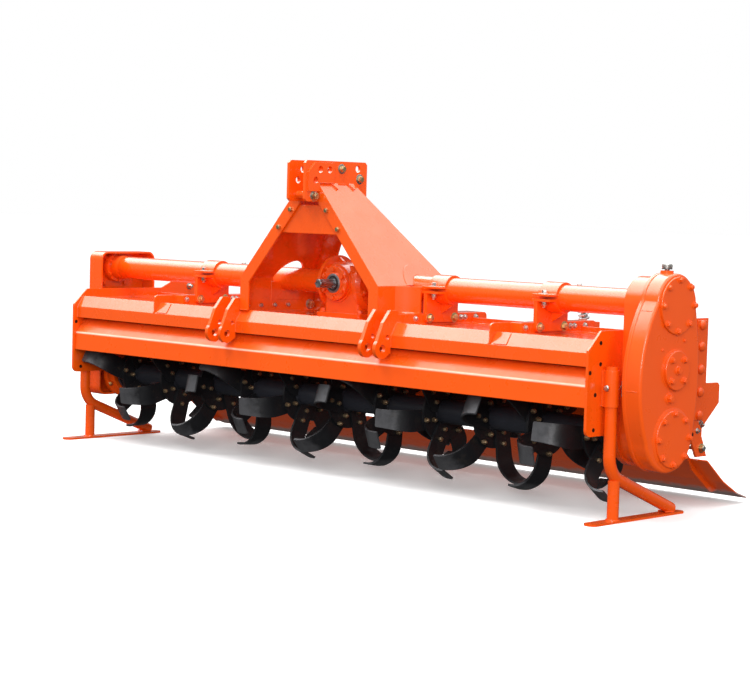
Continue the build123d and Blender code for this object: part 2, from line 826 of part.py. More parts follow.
# ---- Parking stands: sleeve on the end plate, bent leg, post and foot bar ----
leg_x = half + stand_out
for side_name, sign in (("left", -1), ("right", 1)):
    with BuildPart() as sleeve:
        with BuildSketch(level(sleeve_low)):
            with Locations((sign * leg_x, leg_corner[0])):
                Circle(sleeve_radius)
            with Locations((sign * (half + slip + leg_x) / 2, leg_corner[0])):
                Rectangle(leg_x - half - slip, sleeve_pad)
            with Locations((sign * leg_x, leg_corner[0])):
                Circle(leg_radius + leg_gap, mode=Mode.SUBTRACT)
        extrude(amount=sleeve_high - sleeve_low)
    save(sleeve, f"stand_sleeve_{side_name}")

    with BuildPart() as stand:
        with BuildLine(side(sign * leg_x)):
            FilletPolyline((leg_corner[0], leg_top), leg_corner, leg_end, radius=leg_bend_radius)
        with BuildSketch(level(leg_top)):
            with Locations((sign * leg_x, leg_corner[0])):
                Circle(leg_radius)
        sweep()
        with BuildSketch(level(post_top)):
            with Locations((sign * leg_x, post_y)):
                Circle(post_radius)
        extrude(amount=floor - post_top)
        with BuildSketch(level(floor)):
            with Locations((sign * leg_x, (foot_front + foot_rear) / 2)):
                Rectangle(4 * foot_width, 2 * (foot_rear - foot_front))
        extrude(amount=-foot_width, mode=Mode.SUBTRACT)
        with BuildSketch(level(floor)):
            with Locations((sign * leg_x, (foot_front + foot_rear) / 2)):
                Rectangle(foot_width, foot_rear - foot_front)
        extrude(amount=foot_thick)
        foot_corners = stand.edges().filter_by(Axis.Z).group_by(SortBy.LENGTH)[0]
        chamfer(foot_corners, length=foot_nose / 2)
    save(stand, f"stand_{side_name}")

# ---- Hinge rod and trailing board ----
with BuildPart() as hinge_rod:
    with BuildSketch(side(-half - hinge_rod_out)):
        with Locations(hinge):
            Circle(hinge_rod_radius)
    extrude(amount=2 * (half + hinge_rod_out))
save(hinge_rod, "hinge_rod")

swing = [(hinge[0] + y, hinge[1] + z) for y, z in (board_start, board_middle, board_bend, board_tip)]
rib_edge = [(hinge[0] + y, hinge[1] + z) for y, z in board_rib]
lug_y = hinge[0] + rod_lug[0]
lug_z = hinge[1] + rod_lug[1]
with BuildPart() as board:
    with BuildSketch(side(-board_half)):
        with BuildLine():
            FilletPolyline(*swing, radius=board_round)
            offset(amount=board_sheet, side=Side.RIGHT)
        make_face()
    extrude(amount=2 * board_half)
    for sign in (-1, 1):
        with BuildSketch(side(sign * board_rib_x - board_rib_thick / 2)):
            Polygon(swing[0], *rib_edge, swing[2], swing[1], align=None)
        extrude(amount=board_rib_thick)
    for rod_name, rod_x in rods:
        for plate_x in (-rod_eye_width / 2 - lug_gap - lug_plate, rod_eye_width / 2 + lug_gap):
            with BuildSketch(side(rod_x + plate_x)):
                Polygon(
                    (lug_y - lug_foot, hinge[1] + rod_lug_foot[0]),
                    (lug_y - rod_eye_radius, lug_z),
                    (lug_y + rod_eye_radius, lug_z),
                    (lug_y + lug_foot, hinge[1] + rod_lug_foot[1]),
                    align=None,
                )
                with Locations((lug_y, lug_z)):
                    Circle(rod_eye_radius)
            extrude(amount=lug_plate)
        with BuildSketch(side(rod_x - rod_eye_width / 2 - lug_gap)):
            with Locations((lug_y, lug_z)):
                Circle(rod_pin_radius)
        extrude(amount=rod_eye_width + 2 * lug_gap)
    for index in range(knuckle_count):
        knuckle_x = (index - (knuckle_count - 1) / 2) * knuckle_pitch
        with BuildSketch(side(knuckle_x - knuckle_length / 2)):
            Polygon(
                (hinge[0] - knuckle_radius, hinge[1]),
                (hinge[0] + knuckle_radius, hinge[1]),
                ((swing[0][0] + swing[1][0]) / 2, (swing[0][1] + swing[1][1]) / 2),
                swing[0],
                align=None,
            )
            with Locations(hinge):
                Circle(knuckle_radius)
                Circle(hinge_rod_radius + running_gap, mode=Mode.SUBTRACT)
        extrude(amount=knuckle_length)
save(board, "trailing_board")

# ---- Spring rods: eye on the board's pin, rod up through the bracket, spring and nut ----
rod_lean = math.atan2(lug_y - rod_guide[0], rod_guide[1] - lug_z)
rod_reach = math.hypot(lug_y - rod_guide[0], rod_guide[1] - lug_z)
up_rod = (0, -math.sin(rod_lean), math.cos(rod_lean))
for side_name, rod_x in rods:
    eye = side(rod_x).from_local_coords((lug_y, lug_z, 0))
    spring_foot = rod_reach + spring_lift / math.cos(rod_lean) + spring_radius * math.tan(rod_lean)
    with BuildPart() as rod:
        with BuildSketch(Plane(origin=eye, x_dir=(1, 0, 0), z_dir=up_rod)):
            Circle(rod_radius)
        extrude(amount=rod_reach + rod_over_guide)
        with BuildSketch(side(rod_x - rod_eye_width / 2)):
            with Locations((lug_y, lug_z)):
                Circle(rod_eye_radius)
        extrude(amount=rod_eye_width)
        with BuildSketch(side(rod_x)):
            with Locations((lug_y, lug_z)):
                Circle(rod_pin_radius + running_gap)
        extrude(amount=rod_eye_width, both=True, mode=Mode.SUBTRACT)
        with BuildSketch(Plane(origin=eye, x_dir=(1, 0, 0), z_dir=up_rod).offset(spring_foot + spring_length)):
            RegularPolygon(rod_nut_radius, 6)
        extrude(amount=rod_nut)
    save(rod, f"spring_rod_{side_name}")

    with BuildPart() as spring:
        with BuildSketch(Plane(origin=eye, x_dir=(1, 0, 0), z_dir=up_rod).offset(spring_foot)):
            Circle(spring_radius)
            Circle(rod_radius + running_gap, mode=Mode.SUBTRACT)
        extrude(amount=spring_length)
    save(spring, f"spring_{side_name}")

    with BuildPart() as guide:
        with BuildSketch(front(guide_rear)):
            with Locations((rod_x, deck_top + slip)):
                Rectangle(guide_width, rod_guide[1] - deck_top - slip, align=(Align.CENTER, Align.MIN))
                Rectangle(
                    guide_width - 2 * guide_sheet,
                    rod_guide[1] - deck_top - slip - guide_sheet,
                    align=(Align.CENTER, Align.MIN),
                    mode=Mode.SUBTRACT,
                )
        extrude(amount=guide_rear - guide_front)
        with BuildSketch(level(rod_guide[1])):
            with Locations((rod_x, rod_guide[0])):
                SlotOverall(guide_slot, 2 * (rod_radius + guide_play), rotation=90)
        extrude(amount=-guide_sheet, mode=Mode.SUBTRACT)
        with BuildSketch(level(deck_top + rear_stiffener[1] + slip)):
            with Locations((rod_x, rear_stiffener[0])):
                Rectangle(2 * guide_width, hood_sheet + 2 * slip)
        extrude(amount=-rear_stiffener[1], mode=Mode.SUBTRACT)
    save(guide, f"spring_bracket_{side_name}")
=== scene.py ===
"""Looks for the rotary tiller: paint, cast and forged surfaces, fasteners, welds, springs, clips.

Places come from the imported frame: the boxes of its nodes, its joints and the rotor axis. Typed
numbers are millimetres from that axis: x towards the side gear case, y to the rear, z up.
"""
import json
import math
import random

import bmesh
import bpy
from mathutils import Matrix, Vector


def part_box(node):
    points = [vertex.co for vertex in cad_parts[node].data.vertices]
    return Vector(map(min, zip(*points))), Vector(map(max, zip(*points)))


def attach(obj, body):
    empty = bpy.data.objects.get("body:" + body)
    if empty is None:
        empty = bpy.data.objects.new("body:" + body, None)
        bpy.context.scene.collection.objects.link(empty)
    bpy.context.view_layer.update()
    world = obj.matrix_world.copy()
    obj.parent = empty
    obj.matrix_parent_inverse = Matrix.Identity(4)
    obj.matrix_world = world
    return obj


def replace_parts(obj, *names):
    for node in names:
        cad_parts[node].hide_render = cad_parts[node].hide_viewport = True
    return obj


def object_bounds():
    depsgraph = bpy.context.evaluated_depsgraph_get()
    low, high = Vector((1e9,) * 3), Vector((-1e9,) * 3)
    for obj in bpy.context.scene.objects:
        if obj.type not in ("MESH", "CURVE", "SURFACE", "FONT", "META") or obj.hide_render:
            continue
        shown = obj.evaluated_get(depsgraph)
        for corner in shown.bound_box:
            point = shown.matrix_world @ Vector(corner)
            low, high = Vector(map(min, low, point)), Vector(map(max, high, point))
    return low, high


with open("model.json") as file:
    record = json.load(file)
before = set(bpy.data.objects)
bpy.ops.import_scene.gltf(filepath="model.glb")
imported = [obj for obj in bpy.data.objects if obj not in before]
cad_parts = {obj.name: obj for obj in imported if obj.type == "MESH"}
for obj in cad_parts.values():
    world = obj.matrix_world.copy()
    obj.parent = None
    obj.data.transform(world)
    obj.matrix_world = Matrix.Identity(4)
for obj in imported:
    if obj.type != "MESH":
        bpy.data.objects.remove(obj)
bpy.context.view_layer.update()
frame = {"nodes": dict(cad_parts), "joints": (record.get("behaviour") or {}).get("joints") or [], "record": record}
nodes = frame["nodes"]
joints = {joint["name"]: joint for joint in frame["joints"]}
rotor = Vector(joints["rotor_spin"]["pos_m"])
random.seed(7)

TAU = 2 * math.pi
MM = 0.001
X, Y, Z = Vector((1, 0, 0)), Vector((0, 1, 0)), Vector((0, 0, 1))
SIDES = (("left", -1), ("right", 1))

# Places and sizes that no node's box gives
TUBE_Z = 445            # axis of the cross tubes
TUBE_EDGE = 46.2        # radius of a plate's edge that closes on a cross tube
TUBE_FLANGE = 12        # thickness of a cross tube's end flange
DECK_BEAD_Z = 318.8     # middle of the weld runs along the deck ribs
FOOT_BEAD_Z = 319.4     # and of those at the foot of the mast
KNEE = 454              # fold in both mast panels
PANEL_SHEET = 8         # thickness of a mast panel
CLEVIS_PLATE = 15       # thickness of a clevis ear
EAR_OUT, EAR_IN = 49, 37        # faces of the doubled upper hitch ears
RIDGE_X = 86            # from the gear case's inner face to its casting ridge
GEARBOX_ROUND = 78      # radius of the gearbox's round top
KNUCKLE_PITCH = 560     # from one hinge knuckle of the board to the next
BOARD_RIB = 1322        # from the machine's middle to the board's end ribs


def at(x, y, z):
    """Millimetres from the rotor axis, as a point of the row frame."""
    return rotor + Vector((x, y, z)) * MM


def box(node):
    """Lowest and highest corner of a node, in millimetres from the rotor axis."""
    low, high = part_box(node)
    return (low - rotor) * 1000, (high - rotor) * 1000


def middle(node):
    """The middle of a node's box."""
    low, high = box(node)
    return (low + high) / 2


def pivot_of(joint):
    """A joint's place, in millimetres from the rotor axis."""
    return (Vector(joints[joint]["pos_m"]) - rotor) * 1000


def circle(count, radius, start=0.0, centre=(0.0, 0.0)):
    """Evenly spaced points round a centre; the first stands at the start angle in degrees."""
    turns = [math.radians(start) + TAU * i / count for i in range(count)]
    return [(centre[0] + radius * math.cos(a), centre[1] + radius * math.sin(a)) for a in turns]


def framed(point, x, y, z):
    """A matrix whose origin is the point and whose axes are the three directions."""
    return Matrix.Translation(point) @ Matrix((x, y, z)).transposed().to_4x4()


def placed(point, normal, turn=0.0):
    """A matrix whose origin is the point and whose Z is the normal, turned about it."""
    z = normal.normalized()
    helper = Z if abs(z.z) < 0.9 else Y
    x = helper.cross(z).normalized()
    return framed(point, x, z.cross(x), z) @ Matrix.Rotation(turn, 4, "Z")


def side_plane(x, sign=1):
    """A plane across the machine that faces along the sign of X; its Y is up."""
    return framed(at(x, 0, 0), Y * sign, Z, X * sign)


# ---- Materials -------------------------------------------------------------------------------
class Shader:
    """A Principled material and short names for the nodes that feed it."""

    def __init__(self, name, **fixed):
        self.material = bpy.data.materials.new(name)
        self.material.use_nodes = True
        self.tree = self.material.node_tree
        self.bsdf = self.tree.nodes["Principled BSDF"]
        self.where = self.node("ShaderNodeTexCoord").outputs["Object"]
        for socket, value in fixed.items():
            self.bsdf.inputs[socket.replace("_", " ")].default_value = value

    def feed(self, made, key, value):
        """Links a socket to an input, or sets the input to a plain value."""
        if isinstance(value, bpy.types.NodeSocket):
            self.tree.links.new(value, made.inputs[key])
        else:
            made.inputs[key].default_value = value

    def node(self, kind, **values):
        """A new node; an input is named with _ for its spaces, or by number as in i0."""
        made = self.tree.nodes.new(kind)
        for name, value in values.items():
            numbered = name[0] == "i" and name[1:].isdigit()
            self.feed(made, int(name[1:]) if numbered else name.replace("_", " "), value)
        return made

    def noise(self, scale, detail=4.0, rough=0.55, where=None):
        return self.node(
            "ShaderNodeTexNoise",
            Scale=scale, Detail=detail, Roughness=rough, Vector=where or self.where,
        ).outputs["Fac"]

    def stretch(self, x, y, z):
        return self.node("ShaderNodeMapping", Vector=self.where, Scale=(x, y, z)).outputs["Vector"]

    def ranged(self, value, low, high, to_low=0.0, to_high=1.0):
        return self.node(
            "ShaderNodeMapRange",
            Value=value, From_Min=low, From_Max=high, To_Min=to_low, To_Max=to_high,
        ).outputs["Result"]

    def math(self, how, a, b=0.0):
        made = self.node("ShaderNodeMath", i0=a, i1=b)
        made.operation = how
        return made.outputs[0]

    def mix(self, share, a, b):
        """A blend of two colours."""
        made = self.tree.nodes.new("ShaderNodeMix")
        made.data_type = "RGBA"
        self.feed(made, 0, share)
        for index, colour in ((6, a), (7, b)):
            self.feed(made, index, (*colour, 1.0) if isinstance(colour, tuple) else colour)
        return made.outputs[2]

    def part(self, axis, vector=None):
        """One part of a vector; by itself, the place on the surface in metres."""
        return self.node("ShaderNodeSeparateXYZ", Vector=vector or self.where).outputs[axis]

    def upward(self):
        """1 on faces that look up, 0 on walls and undersides."""
        normal = self.node("ShaderNodeNewGeometry").outputs["Normal"]
        return self.ranged(self.part("Z", normal), 0.25, 0.95)

    def from_axis(self):
        """Metres from the rotor axis."""
        y = self.math("SUBTRACT", self.part("Y"), rotor.y)
        z = self.math("SUBTRACT", self.part("Z"), rotor.z)
        square = self.math("ADD", self.math("MULTIPLY", y, y), self.math("MULTIPLY", z, z))
        return self.math("SQRT", square)

    def bump(self, *layers):
        """Layers of (height, strength, distance), each over the last."""
        normal = None
        for height, strength, distance in layers:
            made = self.node("ShaderNodeBump", Height=height, Strength=strength, Distance=distance)
            if normal:
                self.tree.links.new(normal, made.inputs["Normal"])
            normal = made.outputs["Normal"]
        return normal

    def set(self, **sockets):
        for socket, value in sockets.items():
            self.tree.links.new(value, self.bsdf.inputs[socket.replace("_", " ")])
        return self.material


ORANGE = (0.91, 0.102, 0.003)
ORANGE_DEEP = (0.84, 0.083, 0.002)
ORANGE_WORN = (0.86, 0.20, 0.075)
ORANGE_STREAK = (0.52, 0.040, 0.004)
# Painted highlight along the skirt's upper bend
FOLD_HIGHLIGHT = (0.95, 0.56, 0.42)
# Pale pinkish tan: dust, and a painted sheen of the sky on faces that look up
DUST_AND_SHEEN = (0.88, 0.42, 0.27)


def orange(name, peel_scale, peel, waves, rough, coat=0.85, fold=None):
    """Gloss orange powder coat: uneven tone, dust and a painted sheen on what faces up, small rubbed specks.

    The fold is the height, in metres, of a bend whose edge gets a painted highlight along its length."""
    s = Shader(name, Coat_Weight=coat, Coat_Roughness=0.10, Specular_IOR_Level=0.30)
    tone = s.mix(s.noise(2.2, 3), ORANGE_DEEP, ORANGE)
    # Faces that look up turn pale: partly dust, partly a painted sheen of the sky on them.
    dust_and_sheen = s.math("MULTIPLY", s.upward(), s.ranged(s.noise(9, 6, 0.65), 0.35, 0.75, 0.0, 0.12))
    specks = s.ranged(s.noise(95, 6, 0.7), 0.79, 0.84, 0.0, 0.4)
    streaks = s.ranged(s.noise(5, 6, 0.6, s.stretch(6, 6, 0.6)), 0.58, 0.85, 0.0, 0.14)
    colour = s.mix(streaks, s.mix(specks, s.mix(dust_and_sheen, tone, DUST_AND_SHEEN), ORANGE_WORN), ORANGE_STREAK)
    # A pale line along the bend, broken up by noise: a painted highlight where the bend would catch the sky.
    if fold:
        aside = s.math("ABSOLUTE", s.math("SUBTRACT", s.part("Z"), fold))
        line = s.ranged(aside, 0.0015, 0.0052, 1.0, 0.0)
        rubbed = s.math("MULTIPLY", line, s.ranged(s.noise(4, 4), 0.3, 0.6, 0.55, 0.95))
        colour = s.mix(rubbed, colour, FOLD_HIGHLIGHT)
    return s.set(
        Base_Color=colour,
        Roughness=s.ranged(s.noise(14, 5), 0.3, 0.75, rough, rough + 0.16),
        Normal=s.bump((s.noise(peel_scale, 3), peel, 0.0008), (s.noise(7, 2), waves, 0.003)),
    )


def worn_foot():
    """The sheet's orange, with the trailing board's lower edge rubbed to dull, dirty steel."""
    s = Shader("orange_board", Coat_Weight=0.45, Coat_Roughness=0.16, Specular_IOR_Level=0.30)
    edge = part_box("trailing_board")[0].z
    ragged = s.math("ADD", s.part("Z"), s.math("MULTIPLY", s.noise(26, 6, 0.7), 0.05))
    rubbed = s.ranged(ragged, edge + 0.046, edge + 0.062, 0.85, 0.0)
    tone = s.mix(s.noise(2.2, 3), ORANGE_DEEP, ORANGE)
    steel = s.mix(s.noise(60, 5), (0.22, 0.16, 0.145), (0.52, 0.42, 0.39))
    return s.set(
        Base_Color=s.mix(rubbed, tone, steel),
        Roughness=s.ranged(s.noise(14, 5), 0.3, 0.75, 0.26, 0.44),
        Normal=s.bump((s.noise(420, 3), 0.08, 0.0008), (s.noise(7, 2), 0.06, 0.003)),
    )


def painted_bolt():
    """The same paint over a zinc bolt, with the plating showing where a spanner rubbed it."""
    s = Shader("bolt_painted_over", Coat_Weight=0.3, Coat_Roughness=0.15)
    bare = s.ranged(s.noise(120, 4, 0.6), 0.68, 0.74)
    colour = s.mix(bare, s.mix(s.noise(30), ORANGE_DEEP, ORANGE), (0.62, 0.58, 0.50))
    return s.set(
        Base_Color=colour,
        Metallic=s.math("MULTIPLY", bare, 0.9),
        Roughness=s.ranged(s.noise(60), 0.3, 0.7, 0.28, 0.48),
        Normal=s.bump((s.noise(260, 3), 0.25, 0.0006)),
    )


def black_forged(name, worn_from, scale, light=(0.017, 0.017, 0.020)):
    """Black paint on forged steel: dull scale, scratches, and a grey edge far from the axis."""
    s = Shader(name, Specular_IOR_Level=0.45)
    ragged = s.math("ADD", s.from_axis(), s.math("MULTIPLY", s.noise(34, 5), 0.05))
    far = s.ranged(ragged, worn_from, worn_from + 0.03)
    scratch = s.ranged(s.noise(55, 6, 0.7, s.stretch(0.25, 3, 3)), 0.60, 0.78)
    rubbed = s.math("MAXIMUM", s.math("MULTIPLY", far, 0.55), s.math("MULTIPLY", scratch, 0.16))
    paint = s.mix(s.noise(scale, 5), (0.004, 0.004, 0.005), light)
    dirt = s.ranged(s.noise(19, 6, 0.7), 0.58, 0.80, 0.0, 0.30)
    return s.set(
        Base_Color=s.mix(dirt, s.mix(rubbed, paint, (0.17, 0.17, 0.18)), (0.085, 0.062, 0.045)),
        Metallic=s.math("MULTIPLY", rubbed, 0.7),
        Roughness=s.ranged(s.noise(24, 6), 0.3, 0.75, 0.30, 0.56),
        Normal=s.bump((s.noise(150, 5, 0.6), 0.35, 0.0010), (s.noise(16, 3), 0.25, 0.003)),
    )


def metal(name, dark, light, rough, scale, bump_depth, rust):
    """Bare or plated steel: two tones, fine grain and brown spots."""
    s = Shader(name)
    tone = s.mix(s.noise(scale, 5), dark, light)
    spots = s.ranged(s.noise(70, 5, 0.7), 0.60, 0.74, 0.0, rust)
    return s.set(
        Base_Color=s.mix(spots, tone, (0.23, 0.085, 0.035)),
        Metallic=s.ranged(spots, 0, 1, 1.0, 0.2),
        Roughness=s.ranged(s.noise(scale * 2, 4), 0.3, 0.7, rough, rough + 0.22),
        Normal=s.bump((s.noise(scale * 6, 4), 0.3, bump_depth)),
    )


def machined():
    """Turned steel: fine rings along the shaft and an oily darker film."""
    s = Shader("shaft_steel", Metallic=0.95)
    rings = s.noise(700, 2, 0.4, s.stretch(0.05, 1, 0.05))
    film = s.ranged(s.noise(40, 5), 0.35, 0.7)
    return s.set(
        Base_Color=s.mix(film, (0.18, 0.18, 0.19), (0.60, 0.60, 0.61)),
        Roughness=s.ranged(s.noise(60), 0.3, 0.7, 0.22, 0.42),
        Normal=s.bump((rings, 0.25, 0.0005)),
    )


def rubber():
    """The black lip of a shaft seal, a little dusty."""
    s = Shader("seal_rubber", Specular_IOR_Level=0.35)
    return s.set(
        Base_Color=s.mix(s.noise(60, 5), (0.015, 0.016, 0.018), (0.07, 0.07, 0.075)),
        Roughness=s.ranged(s.noise(45), 0.3, 0.7, 0.45, 0.7),
        Normal=s.bump((s.noise(420, 3), 0.3, 0.0005)),
    )


def hole_shade():
    """Painted shade that stands in for a drilled hole: near-black, a little rusty."""
    s = Shader("painted_hole_shade", Specular_IOR_Level=0.1)
    return s.set(
        Base_Color=s.mix(s.noise(130, 4), (0.004, 0.003, 0.003), (0.035, 0.012, 0.006)),
        Roughness=s.ranged(s.noise(90), 0.3, 0.7, 0.8, 1.0),
        Normal=s.bump((s.noise(300), 0.2, 0.0004)),
    )


# The skirt's upper bend is the highest place where its face is still all but at the front
skirt = nodes["front_skirt"].data.vertices
skirt_front = min(v.co.y for v in skirt)
skirt_fold = max(v.co.z for v in skirt if v.co.y < skirt_front + 0.0055)

sheet_paint = orange("orange_sheet", 420, 0.06, 0.05, 0.20)
# The skirt's paint carries a painted highlight along its upper bend.
skirt_paint = orange("orange_skirt", 420, 0.06, 0.05, 0.24, 0.22, skirt_fold)
cast_paint = orange("orange_cast", 170, 0.30, 0.10, 0.26)
weld_paint = orange("orange_weld", 240, 0.45, 0.20, 0.24)
bolt_paint = painted_bolt()
board_paint = worn_foot()
blade_paint = black_forged("black_blade", 0.236, 7)
# The rotor tube's lighter, bluish tone is a painted sheen: the sky's reflection painted into the black paint.
tube_paint_with_sheen = black_forged("black_tube_painted_sheen", 0.40, 4, (0.042, 0.045, 0.060))
shaft_steel = machined()
zinc = metal("zinc_silver", (0.50, 0.49, 0.46), (0.78, 0.77, 0.72), 0.24, 45, 0.0004, 0.25)
zinc_yellow = metal("zinc_yellow", (0.55, 0.42, 0.17), (0.80, 0.69, 0.42), 0.26, 50, 0.0004, 0.55)
blade_bolt = metal(
    "blade_bolt_steel", (0.30, 0.19, 0.10), (0.85, 0.66, 0.42), 0.40, 90, 0.0006, 0.6
)
spring_steel = metal("spring_steel", (0.42, 0.42, 0.43), (0.66, 0.66, 0.67), 0.28, 40, 0.0004, 0.2)
seal = rubber()
bearing_steel = metal(
    "bearing_steel", (0.24, 0.24, 0.25), (0.52, 0.52, 0.54), 0.38, 60, 0.0005, 0.1
)
hole_shade_paint = hole_shade()

# ---- CAD nodes: their own shapes, with eased edges and a real surface ------------------------
CAST = (
    "gear_case", "gear_case_cover_upper", "gear_case_cover_middle", "gear_case_cover_lower",
    "gearbox", "input_bearing_cover", "rotor_bearing_left", "rotor_bearing_right",
)
FOLDED = ("hood_deck", "front_skirt")
EDGE, CAST_EDGE, FOLDED_EDGE = 0.0016, 0.0024, 0.0042
SLOT_PAINT = {
    "orange_paint": sheet_paint, "black_paint": blade_paint,
    "bare_steel": shaft_steel, "zinc_steel": zinc,
}
OWN_PAINT = {
    **dict.fromkeys(CAST, cast_paint),
    "rotor_tube": tube_paint_with_sheen, "trailing_board": board_paint, "front_skirt": skirt_paint,
}
node_slot = {row["node"]: row["material_slot"] for row in frame["record"]["subparts"]}
for name, obj in nodes.items():
    paint = OWN_PAINT.get(name, SLOT_PAINT[node_slot[name]])
    folded = name in FOLDED
    if not obj.material_slots:
        obj.data.materials.append(paint)
    for each in obj.material_slots:
        each.material = paint
    weld = obj.modifiers.new("Weld", "WELD")
    weld.merge_threshold = 0.00002
    flat = obj.modifiers.new("Flat", "DECIMATE")
    flat.decimate_type = "DISSOLVE"
    flat.angle_limit = math.radians(0.6)
    bevel = obj.modifiers.new("Edges", "BEVEL")
    bevel.width = CAST_EDGE if name in CAST else FOLDED_EDGE if folded else EDGE
    bevel.segments = 3 if folded else 2
    bevel.limit_method = "ANGLE"
    bevel.angle_limit = math.radians(22 if folded else 35)
    bevel.harden_normals = True
    smooth = obj.modifiers.new("Normals", "WEIGHTED_NORMAL")
    smooth.keep_sharp = True


# ---- Mesh building ---------------------------------------------------------------------------
class Kit:
    """Small solids gathered into one object. Sizes are millimetres.
"""

    def __init__(self, name, body, slot, materials):
        self.name, self.body, self.slot, self.materials = name, body, slot, materials
        self.verts, self.faces, self.finish, self.flat = [], [], [], []

    def rings(self, rings, matrix, finish=0, closed=False, smooth=True):
        """Skins a list of rings of points, each with the same number of points."""
        start, n, count = len(self.verts), len(rings[0]), len(rings)
        for ring in rings:
            self.verts.extend(matrix @ (Vector(p) * MM) for p in ring)
        for i in range(count if closed else count - 1):
            a, b = start + i * n, start + (i + 1) % count * n
            for j in range(n):
                k = (j + 1) % n
                self.add((a + j, a + k, b + k, b + j), finish, smooth)
        if not closed:
            self.add(tuple(range(start + n - 1, start - 1, -1)), finish, False)
            self.add(tuple(range(start + (count - 1) * n, start + count * n)), finish, False)

    def add(self, face, finish, smooth):
        self.faces.append(face)
        self.finish.append(finish)
        self.flat.append(not smooth)

    def lathe(self, profile, matrix, sides=24, finish=0, smooth=True):
        """Turned solid: profile is radius and height, from its foot to its top."""
        rings = [[(x, y, h) for x, y in circle(sides, r)] for r, h in profile]
        self.rings(rings, matrix, finish, smooth=smooth)

    def hexagon(self, flats, low, high, matrix, finish=0):
        """Hexagon head: chamfered top corners."""
        r = flats / math.sqrt(3)
        profile = [(r, low), (r, high - 0.14 * flats), (r * 0.9, high)]
        self.lathe(profile, matrix, 6, finish, smooth=False)

    def washer(self, flats, matrix, finish):
        """A washer under a head of that size; gives the height of its top."""
        wide = flats * 0.86
        self.lathe([(wide, -0.5), (wide, 1.4), (flats * 0.80, 2.0)], matrix, 22, finish)
        return 2.0

    def bolt(self, point, normal, flats, high=None, washer=True, finish=0, washer_finish=None):
        """A bolt head, on a washer unless told otherwise."""
        m = placed(point, normal, random.uniform(0, TAU))
        foot = 0.0
        if washer:
            foot = self.washer(flats, m, finish if washer_finish is None else washer_finish)
        top = foot + (high or flats * 0.62)
        self.hexagon(flats, foot, top, m, finish)
        self.lathe([(flats * 0.36, top), (flats * 0.33, top + 0.6)], m, 14, finish)

    def nut(self, point, normal, flats, stub, washer=True, finish=0):
        """A nut, on a washer unless told otherwise, with a stub of thread standing out of it."""
        m = placed(point, normal, random.uniform(0, TAU))
        foot = self.washer(flats, m, finish) if washer else 0.0
        top = foot + flats * 0.8
        self.hexagon(flats, foot, top, m, finish)
        r = flats * 0.32
        thread = [(r, top - 1)]
        for i in range(max(1, int(stub / 2))):
            h = top + 2 * i
            thread += [(r, h), (r * 0.88, h + 1), (r, h + 2)]
        thread.append((r * 0.8, thread[-1][1] + 1))
        self.lathe(thread, m, 14, finish)

    def dome(self, point, normal, radius, high):
        """A cup head."""
        steps = 6
        profile = [(radius, -0.4), (radius, high * 0.18)]
        for i in range(1, steps):
            a = i / steps * math.pi / 2
            profile.append((radius * math.cos(a), high * (0.18 + 0.82 * math.sin(a))))
        profile.append((radius * 0.08, high))
        self.lathe(profile, placed(point, normal))

    def tube(self, points, radius, sides=10, closed=False, finish=0, ripple=0.0):
        """A round rod along points; ripple thins each second ring."""
        pts = [Vector(p) for p in points]
        count = len(pts)
        rings = []
        last = None
        for i, p in enumerate(pts):
            before = pts[(i - 1) % count] if closed or i else p
            after = pts[(i + 1) % count] if closed or i < count - 1 else p
            z = (after - before).normalized()
            if last is None:
                last = Z if abs(z.z) < 0.9 else Y
            x = last = (last - z * last.dot(z)).normalized()
            y = z.cross(x)
            r = radius * (1 - ripple * (i % 2))
            rings.append([p + x * u + y * v for u, v in circle(sides, r)])
        self.rings(rings, Matrix.Translation(rotor), finish, closed=closed)

    def bead(self, points, size, finish=0, step=4.0, closed=False):
        """A weld bead: a rippled half-buried rod along a run of straight pieces."""
        pts = [Vector(p) for p in points]
        if closed:
            pts.append(pts[0])
        wobble = 0.12 * size
        fine = []
        for a, b in zip(pts, pts[1:]):
            count = max(2, round((b - a).length / step))
            for i in range(count):
                shake = Vector([random.uniform(-wobble, wobble) for _ in range(3)])
                fine.append(a.lerp(b, i / count) + shake)
        if not closed:
            fine.append(pts[-1])
        self.tube(fine, size, 7, closed, finish, ripple=0.16)

    def slab(self, outline, thick, matrix, finish=0, bevel=1.2):
        """A flat plate with eased edges: the outline is in the matrix's XY plane."""
        n = len(outline)
        pairs = zip(outline, outline[1:] + outline[:1])
        if sum(p[0] * q[1] - q[0] * p[1] for p, q in pairs) < 0:
            outline = outline[::-1]
        small = []
        for i in range(n):
            p, q, r = (Vector(outline[(i + k) % n]).to_2d() for k in (-1, 0, 1))
            a, b = (q - p).normalized(), (r - q).normalized()
            inward = Vector((-a.y, a.x))
            halfway = (inward + Vector((-b.y, b.x))).normalized()
            small.append(q + halfway * (bevel / max(0.35, halfway.dot(inward))))
        levels = ((outline, 0), (outline, thick - bevel), (small, thick))
        rings = [[(p[0], p[1], h) for p in shape] for shape, h in levels]
        self.rings(rings, matrix, finish, smooth=False)

    def done(self):
        """Makes the object and puts it on its body."""
        mesh = bpy.data.meshes.new(self.name)
        mesh.from_pydata([tuple(v) for v in self.verts], [], self.faces)
        for material in self.materials:
            mesh.materials.append(material)
        for face, finish, flat in zip(mesh.polygons, self.finish, self.flat):
            face.material_index = finish
            face.use_smooth = not flat
        work = bmesh.new()
        work.from_mesh(mesh)
        bmesh.ops.recalc_face_normals(work, faces=work.faces)
        work.to_mesh(mesh)
        work.free()
        mesh.set_sharp_from_angle(angle=math.radians(38))
        obj = bpy.data.objects.new(self.name, mesh)
        bpy.context.scene.collection.objects.link(obj)
        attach(obj, self.body)
        return obj


def painted(name, *materials, body="frame"):
    """A kit that keeps the slot name of the orange paint."""
    return Kit(name, body, "orange_paint", materials)


def plated(name, *materials, body="frame"):
    """A kit that keeps the slot name of the zinc-plated steel."""
    return Kit(name, body, "zinc_steel", materials)


